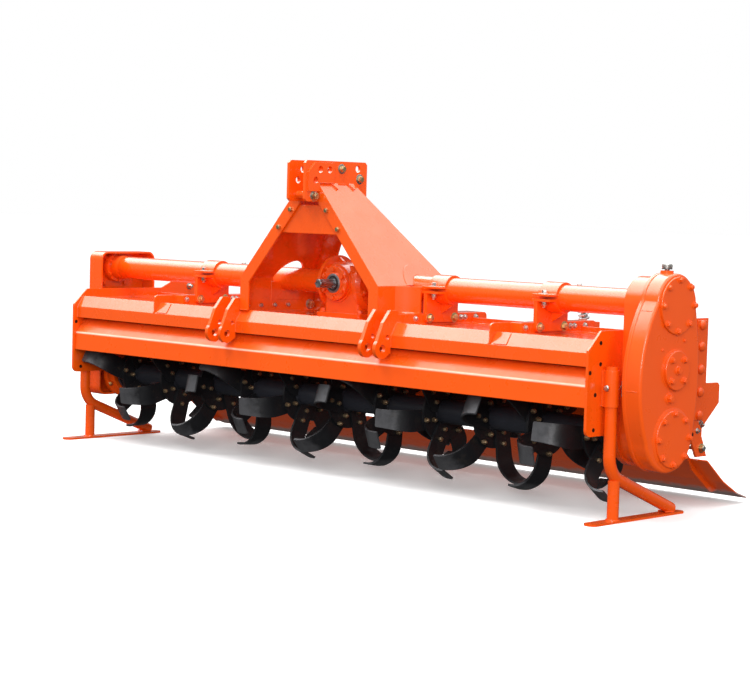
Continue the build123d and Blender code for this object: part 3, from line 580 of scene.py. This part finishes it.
# ---- Side gear case: cover bolts, plugs, casting ridge, raised rings and seams ---------------
case_low, case_high = box("gear_case")
case = painted("gear_case_bolts", bolt_paint)
COVER_BOLTS = (("upper", 8, 10, 90), ("lower", 8, 10, 90), ("middle", 4, 17, 45))
for cover, count, inset, start in COVER_BOLTS:
    low, high = box(f"gear_case_cover_{cover}")
    centre = (low + high) / 2
    radius = (high.z - low.z) / 2 - inset
    for y, z in circle(count, radius, start, (centre.y, centre.z)):
        case.bolt(at(high.x, y, z), X, 15, 9)
cap = middle("gear_case_cover_middle")
plug = placed(at(box("gear_case_cover_middle")[1].x, cap.y, cap.z), X)
case.lathe([(16, -0.5), (16, 2), (14.5, 3.2)], plug)
case.hexagon(20, 3, 11, plug)
for y, z, flats in ((-27, 137, 24), (47, 328, 10), (-74, 300, 8)):
    case.bolt(at(case_high.x, y, z), X, flats, flats * 0.5, washer=flats > 12)
case.done()

# The case's outline: its points near the outer face, sorted by their angle, one to a step
OUTLINE_X, OUTLINE_CENTRE_Z, OUTLINE_STEPS = case_high.x - 10, 215, 120
angles = {}
for v in nodes["gear_case"].data.vertices:
    p = (v.co - rotor) * 1000
    if abs(p.x - OUTLINE_X) < 1.5:
        step = round(math.atan2(p.z - OUTLINE_CENTRE_Z, p.y) / TAU * OUTLINE_STEPS)
        angles.setdefault(step, p)
outline = [angles[step] for step in sorted(angles)]


def spread(p, out):
    """The outline's point moved away from the line between the case's two axes."""
    edge = Vector((0, p.y, p.z))
    spine = Vector((0, 0, max(0, min(TUBE_Z, p.z))))
    return edge + (edge - spine).normalized() * out


casting = painted("gear_case_casting", cast_paint)
ridge_x = case_low.x + RIDGE_X
RIDGE_SHAPE = ((-7, -3), (-5, 1.6), (-2, 2.4), (2, 2.4), (5, 1.6), (7, -3))
ridge = [[(ridge_x + x, *spread(p, out).yz) for x, out in RIDGE_SHAPE] for p in outline]
casting.rings(ridge, Matrix.Translation(rotor), closed=True)
for y, z, r in ((0, 230, 72), (-4, 0, 106)):
    ring = [(r, -3), (r, 0.6), (r - 2.5, 1.6)]
    casting.lathe(ring, placed(at(case_high.x, y, z), X), 64)
front_rim = sorted((p for p in outline if p.y < 0), key=lambda p: p.z)
for z in (428, 165):
    below = max((p for p in front_rim if p.z <= z), key=lambda p: p.z)
    above = min((p for p in front_rim if p.z > z), key=lambda p: p.z)
    y = below.y + (above.y - below.y) * (z - below.z) / (above.z - below.z)
    casting.tube([(ridge_x - 6, y, z), (case_high.x - 12, y, z)], 1.4, 6)
casting.done()

# ---- Breather: knurled cap on a seal ---------------------------------------------------------
breather = plated("breather_cap", zinc, seal)
low, high = box("breather")
m = placed(at((low.x + high.x) / 2, (low.y + high.y) / 2, high.z), Z)
breather.lathe([(15.5, -12), (17.6, -10.5), (17.6, -3.0), (15.6, -1.2), (9, -0.1)], m, 28)
for x, y in circle(18, 17.2):
    knurl = m @ Matrix.Translation(Vector((x, y, 0)) * MM)
    breather.lathe([(1.1, -10), (1.1, -4)], knurl, 6)
breather.lathe([(18.4, -17.5), (18.4, -15.2), (16, -14.6)], m, 28, finish=1)
breather.done()

# ---- End plates: rear strips with cup bolts, tongue bolts, spare holes as painted shade, weld runs - ---
plate_bolts = plated("end_plate_bolts", bolt_paint, zinc)
plate_strips = painted("end_plate_strips", sheet_paint)
plate_hole_shades = painted("end_plate_hole_shades", hole_shade_paint)
plate_welds = painted("end_plate_welds", weld_paint)
HOLES = ((-211, 317), (-209, 247), (-232, 146), (-235, 30), (-263, 220), (329, -20))
for side_name, sign in SIDES:
    low, high = box(f"end_plate_{side_name}")
    out, inside = (high.x, low.x) if sign > 0 else (low.x, high.x)
    normal = X * sign
    strip = [(sign * y, z) for y, z in ((330, 30), (384, 30), (384, 380), (330, 380))]
    plate_strips.slab(strip, 6, side_plane(out, sign))
    for z in (362, 288, 207, 128, 46):
        plate_bolts.dome(at(out + sign * 6, 356, z), normal, 17, 12)
        plate_bolts.nut(at(inside, 356, z), -normal, 17, 6, finish=1)
    for y, z in ((285, 33), (347, 47)):
        plate_bolts.dome(at(out, y, z), normal, 11, 7)
    for y, z, flats in ((374, 20, 11), (384, 10, 11), (358, -9, 12)):
        plate_bolts.bolt(at(out, y, z), normal, flats, finish=1)
    # Each spare hole is a near-black disc on both faces of the plate: painted shade in place of the hole.
    for y, z in HOLES:
        for x, away in ((out, normal), (inside, -normal)):
            plate_hole_shades.lathe([(7.2, -1), (7.2, 0.25)], placed(at(x, y, z), away), 22)
    x = inside - sign
    plate_welds.bead([(x, -250, 238), (x, -206, 238)], 3.2)
    plate_welds.bead([(x, -257, 240), (x, -257, 283), (x, -228, 327)], 3.4)
    plate_welds.bead([(x, -205, 319), (x, 198, 319)], 3.4, step=5)
for kit in (plate_bolts, plate_strips, plate_hole_shades, plate_welds):
    kit.done()

# ---- Hinge rod ends: washers, nuts and split pins --------------------------------------------
rod_ends = plated("hinge_rod_ends", zinc_yellow, zinc)
low, high = box("hinge_rod")
axis = (low + high) / 2
for sign, end in ((-1, low.x), (1, high.x)):
    m = placed(at(end - sign * 14, axis.y, axis.z), X * sign)
    rod_ends.lathe([(17, 0), (17, 2), (15.5, 2.6)], m, 28)
    rod_ends.hexagon(24, 2.6, 10.6, m)
    x = end - sign * 1.5
    rod_ends.tube([(x, axis.y + y, axis.z + 2) for y in (-15, 15)], 1.8, 8, finish=1)
rod_ends.done()

# ---- Parking stands: cross pins with spring clips, weld runs on legs and sleeves -------------
BRACE_WELD = ((-16, 128, -268), (-18, 160, -270), (0, 186, -270), (18, 160, -270), (16, 128, -268))
for side_name, sign in SIDES:
    low, high = box(f"stand_sleeve_{side_name}")
    stand_low, stand_high = box(f"stand_{side_name}")
    leg_x = (stand_low.x + stand_high.x) / 2
    leg_y = (low.y + high.y) / 2
    pin = plated(f"stand_pin_{side_name}", zinc, spring_steel)
    pin_z = low.z + 64
    head = [(6, -6), (6, 2), (10.5, 2.4), (10.5, 6), (8, 8.4), (2, 9)]
    pin.lathe(head, placed(at(leg_x, low.y, pin_z), -Y), 22)
    pin.lathe([(6, -2), (6, 34), (4.6, 36)], placed(at(leg_x, high.y, pin_z), Y), 18)
    loop = [(0, 20), (0, -12)]
    for i in range(15):
        a = math.radians(180 + 280 * i / 14)
        loop.append((17 + 17 * math.cos(a), -24 + 17 * math.sin(a)))
    loop += [(12, -4), (6.5, 4), (9, 12), (16, 21)]
    pin.tube([(leg_x + x, high.y + 30, pin_z + z) for x, z in loop], 2.6, 8, finish=1)
    pin.done()
    welds = painted(f"stand_welds_{side_name}", weld_paint, body=f"parking_stand_{side_name}")
    foot = [(x, y, stand_low.z + 9) for x, y in circle(26, 21.5, centre=(leg_x, -150))]
    welds.bead(foot, 3.2, closed=True, step=6)
    welds.bead([(leg_x + x, y, z) for x, y, z in BRACE_WELD], 3.2)
    welds.done()
    seam = painted(f"sleeve_welds_{side_name}", weld_paint)
    x = leg_x - sign * 27
    for y in (leg_y - 17, leg_y + 17):
        seam.bead([(x, y, low.z + 2), (x, y, high.z - 2)], 3.0)
    seam.done()

# ---- Tube clamps: strap bolts with nuts, web bolts, weld runs --------------------------------
clamp_bolts = plated("clamp_bolts", zinc, zinc_yellow)
clamp_welds = painted("clamp_welds", weld_paint)
for name in ("left", "inner", "outer"):
    low, high = box(f"tube_clamp_{name}")
    strap_low, strap_high = box(f"clamp_strap_{name}")
    rib_x = box(f"deck_rib_{name}")[1].x
    web_out = rib_x + 12
    for y in (-67, 67):
        clamp_bolts.bolt(at(low.x + 40, y, strap_low.z + 8), Z, 17, 11)
        clamp_bolts.nut(at(low.x + 40, y, strap_low.z - 18), -Z, 17, 7)
        clamp_bolts.bolt(at(web_out, y, low.z + 15), X, 21, 11, washer_finish=1, finish=1)
    for y in (-86, 86):
        clamp_welds.bead([(rib_x, y, low.z + 34), (rib_x, y, 436)], 2.6)
    clamp_welds.bead([(web_out + 1, -4.5, low.z + 36), (high.x - 14, -4.5, 392)], 2.6)
    for x in (strap_low.x, strap_high.x):
        for sign in (-1, 1):
            clamp_welds.bead([(x, sign * 52, 452), (x, sign * 84, 452)], 1.6)
clamp_bolts.done()
clamp_welds.done()

# ---- Deck ribs: small bolts, weld runs, patch plates on the beam's sloping face --------------
rib_bolts = plated("rib_bolts", zinc)
rib_welds = painted("rib_welds", weld_paint)
patches = painted("beam_patch_plates", sheet_paint)
beam_slope = Vector((0, 29, 44))
for name in ("left", "inner", "outer", "mast"):
    low, high = box(f"deck_rib_{name}")
    if name != "mast":
        for y in (-130, 118, 140, 200):
            rib_bolts.bolt(at(high.x, y, high.z - 17), X, 13, 7)
    for x in (low.x - 0.6, high.x + 0.6):
        rib_welds.bead([(x, -148, DECK_BEAD_Z), (x, 263, DECK_BEAD_Z)], 3.2)
    rib_welds.bead([(low.x, 265.6, DECK_BEAD_Z), (high.x, 265.6, DECK_BEAD_Z)], 3.2)
    if name in ("left", "outer"):
        x = low.x - 0.5
        rib_welds.bead([(x, -257.6, 285), (x, -229, 327.6), (x, -206, 327.6)], 2.8)
        up, top = beam_slope.normalized(), beam_slope.length - 3
        patch = [(18, 3), (78, 3), (78, top), (56, top)]
        patches.slab(patch, 3, framed(at(low.x, -257, 283), X, up, X.cross(up)))
for kit in (rib_bolts, rib_welds, patches):
    kit.done()

# ---- Mast: flange bolts, panel bolts, weld runs ----------------------------------------------
mast_bolts = plated("mast_bolts", zinc, zinc_yellow)
mast_welds = painted("mast_welds", weld_paint, sheet_paint)
flange_y = box("mast_panel_right")[0].y
panel_out = box("mast_panel_right")[1].x
for sign in (-1, 1):
    for x, z in ((95, 720), (157, 652)):
        mast_bolts.bolt(at(sign * x, flange_y, z), -Y, 17, 9, washer=False, finish=1)
        mast_bolts.nut(at(sign * x, flange_y + 17, z), Y, 17, 6)
    inner = sign * (panel_out - PANEL_SHEET)
    for y in (-208, -137, -63, 8):
        mast_bolts.bolt(at(inner, y, 343), -X * sign, 15, washer=False)
    mast_bolts.bolt(at(inner, 130, 343), -X * sign, 24, finish=1, washer_finish=0)
    outer = sign * (panel_out + 0.4)
    mast_welds.bead([(inner, -204, FOOT_BEAD_Z), (inner, 158, FOOT_BEAD_Z)], 3.2, step=5)
    mast_welds.bead([(outer, -200, FOOT_BEAD_Z), (outer, -152, FOOT_BEAD_Z)], 3.0)
    flange = [(sign * (panel_out - x), flange_y - 0.4, 328.4) for x in (46, 2)]
    mast_welds.bead(flange, 3.0)
rear_y = box("mast_rear_frame")[1].y + 0.4
for sign in (-1, 1):
    mast_welds.bead([(sign * (panel_out - 6), rear_y, z) for z in (322, 450)], 3.2)

# ---- Mast foot: sheet from the right panel to the tube clamp, plates round both tubes --------
wing = painted("mast_clamp_sheet", sheet_paint, weld_paint)
rib_top = box("deck_rib_inner")[1].z
clamp_x = box("tube_clamp_inner")[0].x - 0.5
run = [
    (panel_out + 0.3, -149), (panel_out + 18, -128), (panel_out + 56, -99), (clamp_x, -94),
    (clamp_x, -88), (panel_out + 58, -93), (panel_out + 22, -121), (panel_out + 0.3, -140),
]
wing.slab(run, KNEE - 0.6 - rib_top, Matrix.Translation(at(0, 0, rib_top + 0.3)), bevel=1.0)
wing.bead([(x, y - 1, rib_top + 1) for x, y in run[:4]], 3.0, finish=1)
pad = [(-84, 362), (84, 362), (84, 424), (40, 436), (-84, 436)]
for face in (PANEL_SHEET - panel_out, panel_out):
    wing.slab(pad, 3, side_plane(face + 0.2))

# The collar lies on the leaning part of the right panel, the foot plate on its upright part
panel_top = box("mast_panel_right")[1].z
lean = math.atan2(panel_out - box("hitch_ear_right")[1].x, panel_top - KNEE)
uphill = Vector((-math.sin(lean), 0, math.cos(lean)))
outward = Vector((math.cos(lean), 0, math.sin(lean)))
collar = []
for radius, way in ((86, 1), (TUBE_EDGE, -1)):
    first = math.asin((KNEE + 1 - TUBE_Z) / radius)
    for i in range(25)[::way]:
        a = first + (math.pi - 2 * first) * i / 24
        rise = (TUBE_Z + radius * math.sin(a) - KNEE) / math.cos(lean)
        collar.append((radius * math.cos(a), rise))
wing.slab(collar, 1.6, framed(at(panel_out, 0, KNEE), Y, uphill, outward), bevel=0.6)
foot = [(-84, 450), (-84, 400)]
for i in range(13):
    a = math.radians(180 + 180 * i / 12)
    foot.append((TUBE_EDGE * math.cos(a), TUBE_Z + 1 + TUBE_EDGE * math.sin(a)))
foot += [(84, 400), (84, 450)]
wing.slab(foot, 1.6, side_plane(panel_out), bevel=0.6)
wing.done()

# ---- Upper hitch ears: bolts, spacer bolt, weld runs, small wedges on the mast panels --------
ear_bolts = plated("hitch_ear_bolts", zinc, zinc_yellow)
WEDGE = [(-17, -2), (17, -2), (3, 27), (-3, 27)]
for sign in (-1, 1):
    out = X * sign
    for y, z in ((-121, 876), (-24, 840)):
        ear_bolts.bolt(at(sign * EAR_OUT, y, z), out, 22, 12, finish=1, washer_finish=0)
        ear_bolts.nut(at(sign * EAR_IN, y, z), -out, 19, 4)
    ear_bolts.bolt(at(sign * EAR_OUT, -262, 772), out, 24, 14, finish=1, washer_finish=0)
    mast_welds.bead([(sign * 49.6, y, 818.6) for y in (-238, -50)], 3.4)
    mast_welds.bead([(sign * 57.4, y, z) for y, z in ((-242, 792), (-242, 822), (-165, 822))], 1.2)
    slope = Vector((sign * 319, 0, -364)).normalized()
    across = slope.cross(Vector((sign * 364, 0, 319)).normalized())
    for y in (-160, -72):
        m = framed(at(sign * 50, y, 818), across, slope, across.cross(slope))
        mast_welds.slab(WEDGE, 6, m, finish=1)
for kit in (ear_bolts, mast_bolts, mast_welds):
    kit.done()

# ---- Lower clevises: weld runs round the feet of their ears ----------------------------------
clevis_welds = painted("clevis_welds", weld_paint)
CLEVIS_RUN = ((-257.8, 242), (-257.8, 282), (-229, 327.8), (-207, 327.8))
for side_name, _ in SIDES:
    low, high = box(f"lower_clevis_{side_name}")
    for ear in (low.x, high.x - CLEVIS_PLATE):
        for x in (ear - 0.5, ear + CLEVIS_PLATE + 0.5):
            clevis_welds.bead([(x, y, z) for y, z in CLEVIS_RUN], 2.8)
clevis_welds.done()

# ---- Gearbox: cover bolts, shaft seal, flange bolts, foot bolts, plugs, ribs -----------------
gear_bolts = painted("gearbox_bolts", bolt_paint, bearing_steel, seal, cast_paint)
low, high = box("input_bearing_cover")
cover = (low + high) / 2
for x, z in circle(6, 54, 30, (cover.x, cover.z)):
    gear_bolts.bolt(at(x, low.y, z), -Y, 16, 10)
m = placed(at(cover.x, low.y, cover.z), -Y)
gear_bolts.lathe([(43, -0.5), (43, 3), (40, 5)], m, 40, finish=3)
gear_bolts.lathe([(37, 0), (37, 6.5), (35, 7.5), (29, 7.5), (28, 5)], m, 40, finish=1)
gear_bolts.lathe([(28, 3), (28, 5.6), (25, 6.4), (23.5, 4)], m, 40, finish=2)
box_low, box_high = box("gearbox")
for sign, face in ((-1, box_low.x), (1, box_high.x)):
    for y, z in circle(8, 76, 22.5, (0, TUBE_Z)):
        gear_bolts.bolt(at(face, y, z), X * sign, 15, 9)
for x in (box_low.x + 18, box_high.x - 18):
    for y in (-72, 72):
        gear_bolts.bolt(at(x, y, 334), Z, 19, 11)
m = placed(at(18, 0, TUBE_Z + GEARBOX_ROUND), Z)
gear_bolts.lathe([(15, -4), (15, 4), (12, 6)], m, finish=3)
gear_bolts.hexagon(22, 6, 15, m)
gear_bolts.hexagon(19, -2, 9, placed(at(-20, -72, 395), -Y))
rib = [(-64, -2), (100, -2), (100, 18), (80, 4), (-46, 4), (-64, 18)]
for a in (35, 90, 145):
    out = Vector((0, math.cos(math.radians(a)), math.sin(math.radians(a))))
    foot = at(0, GEARBOX_ROUND * out.y, TUBE_Z + GEARBOX_ROUND * out.z)
    m = framed(foot, X, out, X.cross(out))
    gear_bolts.slab(rib, 8, m @ Matrix.Translation(Z * -4 * MM), finish=3)
gear_bolts.done()

# ---- Cross tubes: weld rings at their end flanges (the piece has no bolts, for all its name) -
tube_welds = painted("tube_flange_bolts", weld_paint)
for side_name, sign in SIDES:
    low, high = box(f"cross_tube_{side_name}")
    near, far = (high.x, low.x) if sign < 0 else (low.x, high.x)
    for x in (near + sign * TUBE_FLANGE, far - sign * TUBE_FLANGE):
        ring = [(x, y, z) for y, z in circle(30, 47, centre=(0, TUBE_Z))]
        tube_welds.bead(ring, 2.6, closed=True, step=9)
tube_welds.done()

# ---- Left end bracket: bolts, weld runs, boss round the tube, cap over the bearing -----------
bracket = painted("left_bracket_fittings", bolt_paint, weld_paint, cast_paint)
low, high = box("left_end_bracket")
for y, z in circle(4, 78, 45, (0, TUBE_Z - 14)):
    bracket.bolt(at(low.x + 8, y, z), X, 15, 8)
for y in (low.y + 1, high.y - 1):
    run = [(high.x - 0.5, y, low.z + 36), (high.x - 0.5, y, 386)]
    bracket.bead(run, 2.6, finish=1, step=5)
boss = [(62, -3), (62, 18), (60.5, 20), (50, 20), (50, 58), (46.5, 66)]
bracket.lathe(boss, placed(at(low.x + 19, 0, TUBE_Z), X), 56, finish=2)
for y, z in circle(6, 56, 30, (0, TUBE_Z)):
    bracket.bolt(at(low.x + 39, y, z), X, 11, 8, washer=False)
bracket.lathe([(52, -1), (52, 2), (49, 3)], placed(at(low.x, 20, 0), -X), 48, finish=2)
for y, z in circle(4, 60, 45, (20, 0)):
    bracket.bolt(at(low.x, y, z), -X, 15, 3, washer=False)
bracket.done()

# ---- Rotor bearings inside the end plates: bolt rings ----------------------------------------
bearing = painted("rotor_bearing_bolts", bolt_paint, zinc_yellow)
for side_name, sign in SIDES:
    low, high = box(f"end_plate_{side_name}")
    x = (high.x if sign < 0 else low.x) - sign * 14
    for i, (y, z) in enumerate(circle(6, 97, 30)):
        bearing.bolt(at(x, y, z), -X * sign, 11, 7, finish=i % 2)
bearing.done()

# ---- Rotor: blade bolts and nuts, weld rings at each flange ----------------------------------
BLADE_FIRST = 66                # first bolt of a blade from the axis
BLADE_NEXT = 42                 # next bolt along the shank
BLADE_LEAN = math.radians(28)   # of the shank, back from the radius
HELIX = 38                      # degrees from one flange to the next
TINE_SETS = 11
for index in range(TINE_SETS):
    x = middle(f"tine_set_{index + 1:02d}").x
    kit = plated(f"blade_bolts_{index + 1:02d}", blade_bolt, tube_paint_with_sheen, body="rotor")
    for sign, first in ((1, 0), (-1, 60)):
        for k in range(3):
            a = math.radians(HELIX * index + first + 120 * k)
            for step in (0, BLADE_NEXT):
                u = BLADE_FIRST + step * math.cos(BLADE_LEAN)
                v = -step * math.sin(BLADE_LEAN)
                y = u * math.cos(a) - v * math.sin(a)
                z = u * math.sin(a) + v * math.cos(a)
                kit.bolt(at(x + sign * 13, y, z), X * sign, 16, 8, washer=False)
                kit.nut(at(x - sign * 5, y, z), -X * sign, 16, 5, washer=False)
    for sign in (-1, 1):
        ring = [(x + sign * 5.5, y, z) for y, z in circle(26, 46)]
        kit.bead(ring, 3.4, finish=1, closed=True, step=9)
    kit.done()

# ---- Spring rods: coils in place of the plain sleeves, spring seats, threads, washers --------
HALF_SPRING = 48
TURNS, TURN_STEPS = 8, 22
COIL_RADIUS, WIRE_RADIUS = 17.3, 3.3
END_TURN = 0.9                  # flattened turn at each end of a spring
for side_name, _ in SIDES:
    body = f"spring_rod_unit_{side_name}"
    pivot = pivot_of(f"rod_pivot_{side_name}")
    along = middle(f"spring_{side_name}") - pivot
    reach = along.length
    along.normalize()
    across = along.cross(X)
    coil = plated(f"spring_coil_{side_name}", spring_steel, body=body)
    points = []
    for i in range(TURNS * TURN_STEPS + 1):
        turn = i / TURN_STEPS
        left = TURNS - turn
        rise = max(0.0, min(1.0, (turn - END_TURN) / (TURNS - 2 * END_TURN)))
        h = (HALF_SPRING - 3) * (2 * rise - 1)
        h += 2.2 * (min(1.0, turn / END_TURN) - min(1.0, left / END_TURN))
        u, v = COIL_RADIUS * math.cos(TAU * turn), COIL_RADIUS * math.sin(TAU * turn)
        points.append(pivot + along * (reach + h) + X * u + across * v)
    coil.tube(points, WIRE_RADIUS)
    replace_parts(coil.done(), f"spring_{side_name}")
    fit = plated(f"spring_rod_fittings_{side_name}", zinc, body=body)
    top = placed(at(*(pivot + along * (reach + HALF_SPRING))), along)
    foot = placed(at(*(pivot + along * (reach - HALF_SPRING))), along)
    fit.lathe([(20.6, -2.6), (20.6, -0.6), (19, 0)], top, 28)
    fit.lathe([(20.6, 0), (20.6, 2.0), (19, 2.6)], foot, 28)
    thread = [(9.2, 14)]
    for i in range(10):
        thread += [(9.7, 15 + 2.4 * i), (8.9, 16.2 + 2.4 * i)]
    fit.lathe(thread, top, 18)
    for sign in (-1, 1):
        m = placed(at(pivot.x + sign * 19, pivot.y, pivot.z), X * sign)
        fit.lathe([(13, -1), (13, 1.4), (11.6, 2)], m)
    fit.done()

# ---- Trailing board: welds of the hinge knuckles and end ribs, bolts of the rod lugs ---------
board = painted("board_welds", weld_paint, body="board")
hinge = pivot_of("board_swing")
for place in (-2, -1, 0, 1, 2):
    for x in (place * KNUCKLE_PITCH - 35.5, place * KNUCKLE_PITCH + 35.5):
        board.bead([(x, hinge.y + 2, hinge.z - 34), (x, hinge.y + 28, hinge.z - 66)], 2.6)
for rib_x in (-BOARD_RIB, BOARD_RIB):
    for x in (rib_x - 4.6, rib_x + 4.6):
        board.bead([(x, hinge.y + 24, hinge.z - 72), (x, hinge.y + 88, hinge.z - 124)], 2.8)
board.done()
lugs = plated("board_lug_bolts", zinc, body="board")
for side_name, _ in SIDES:
    pivot = pivot_of(f"rod_pivot_{side_name}")
    for sign in (-1, 1):
        lugs.bolt(at(pivot.x + sign * 18, pivot.y, pivot.z), X * sign, 19, 9)
lugs.done()

# ---- Floor -----------------------------------------------------------------------------------
FLOOR_SIZE, FLOOR_CELLS = 120, 8
floor_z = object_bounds()[0].z
row = FLOOR_CELLS + 1
steps = [FLOOR_SIZE * (i / FLOOR_CELLS - 0.5) for i in range(row)]
quads = [
    (j * row + i, j * row + i + 1, (j + 1) * row + i + 1, (j + 1) * row + i)
    for j in range(FLOOR_CELLS) for i in range(FLOOR_CELLS)
]
mesh = bpy.data.meshes.new("floor")
mesh.from_pydata([(x, y, floor_z) for y in steps for x in steps], [], quads)
floor = bpy.data.objects.new("floor", mesh)
bpy.context.scene.collection.objects.link(floor)
s = Shader("floor_pale", Emission_Color=(1, 1, 1, 1), Emission_Strength=0.22)
mesh.materials.append(s.set(
    Base_Color=s.mix(s.noise(1.4, 4), (0.90, 0.90, 0.90), (0.94, 0.94, 0.94)),
    Roughness=s.ranged(s.noise(5), 0.3, 0.7, 0.75, 0.9),
))
floor.visible_diffuse = False
floor.visible_glossy = False

# ---- World: white to the camera, a sky for the light, another one for the gloss --------------
world = bpy.data.worlds.new("studio")
bpy.context.scene.world = world
world.use_nodes = True
sky = world.node_tree
ground = sky.nodes["Background"]
direction = sky.nodes.new("ShaderNodeTexCoord").outputs["Generated"]
height = sky.nodes.new("ShaderNodeSeparateXYZ")
sky.links.new(direction, height.inputs[0])
ray = sky.nodes.new("ShaderNodeLightPath")


def climb(low, high, dark, bright, along="Z"):
    """A sky that goes from dark to bright between two heights, or along another axis."""
    made = sky.nodes.new("ShaderNodeMapRange")
    made.interpolation_type = "SMOOTHSTEP"
    ends = {"From Min": low, "From Max": high, "To Min": dark, "To Max": bright}
    for socket, value in ends.items():
        made.inputs[socket].default_value = value
    sky.links.new(height.outputs[along], made.inputs["Value"])
    return made.outputs["Result"]


def either(which, first, second):
    """The first value, or the second for rays of that kind."""
    made = sky.nodes.new("ShaderNodeMix")
    sky.links.new(ray.outputs[which], made.inputs[0])
    sky.links.new(first, made.inputs[2])
    if isinstance(second, float):
        made.inputs[3].default_value = second
    else:
        sky.links.new(second, made.inputs[3])
    return made.outputs[0]


def combine(how, first, second):
    """The sum or the product of two values."""
    made = sky.nodes.new("ShaderNodeMath")
    made.operation = how
    sky.links.new(first, made.inputs[0])
    sky.links.new(second, made.inputs[1])
    return made.outputs[0]


overhead = combine("MULTIPLY", climb(0.40, 0.70, 0.0, 2.0), climb(-0.65, -0.15, 3.2, 1.0, "X"))
mirrored = combine("ADD", climb(-0.25, 0.10, 0.05, 0.26), overhead)
lit = either("Is Glossy Ray", climb(-0.3, 0.7, 0.30, 0.95), mirrored)
sky.links.new(either("Is Camera Ray", lit, 1.0), ground.inputs["Strength"])
ground.inputs["Color"].default_value = (1.0, 1.0, 1.0, 1.0)


# ---- Lamps and camera ------------------------------------------------------------------------
def soft_box(name, place, target, size, power, shines):
    """A round lamp aimed at a target; it shows in gloss only where it shines."""
    light = bpy.data.lights.new(name, "AREA")
    light.shape = "DISK"
    light.size = size
    light.energy = power
    obj = bpy.data.objects.new(name, light)
    bpy.context.scene.collection.objects.link(obj)
    obj.location = place
    aim = Vector(target) - Vector(place)
    obj.rotation_euler = aim.to_track_quat("-Z", "Y").to_euler()
    obj.visible_glossy = shines


soft_box("light_over", (0.6, -1.2, 4.5), (0, 0.2, 0), 3.2, 190, False)
soft_box("light_front", (5.2, -6.6, 2.4), (0.3, 0, -0.2), 4.0, 330, True)
soft_box("light_left", (-4.1, -2.2, 3.6), (0, 0, -0.2), 3.4, 200, False)
soft_box("light_right", (7.2, -0.6, 1.6), (1.4, 0, -0.2), 3.0, 95, False)

view = bpy.data.cameras.new("camera")
view.lens = 98.09
view.sensor_width = 36
view.clip_end = 300
camera = bpy.data.objects.new("camera", view)
bpy.context.scene.collection.objects.link(camera)
right = Vector((0.72031, 0.69305, 0.02882))
down = Vector((0.07020, -0.03149, -0.99704))
forward = Vector((-0.69009, 0.72020, -0.07134))
camera.matrix_world = framed((5.4655, -5.3840, 0.3254), right, -down, -forward)
bpy.context.scene.camera = camera
bpy.context.scene.view_settings.view_transform = "Standard"
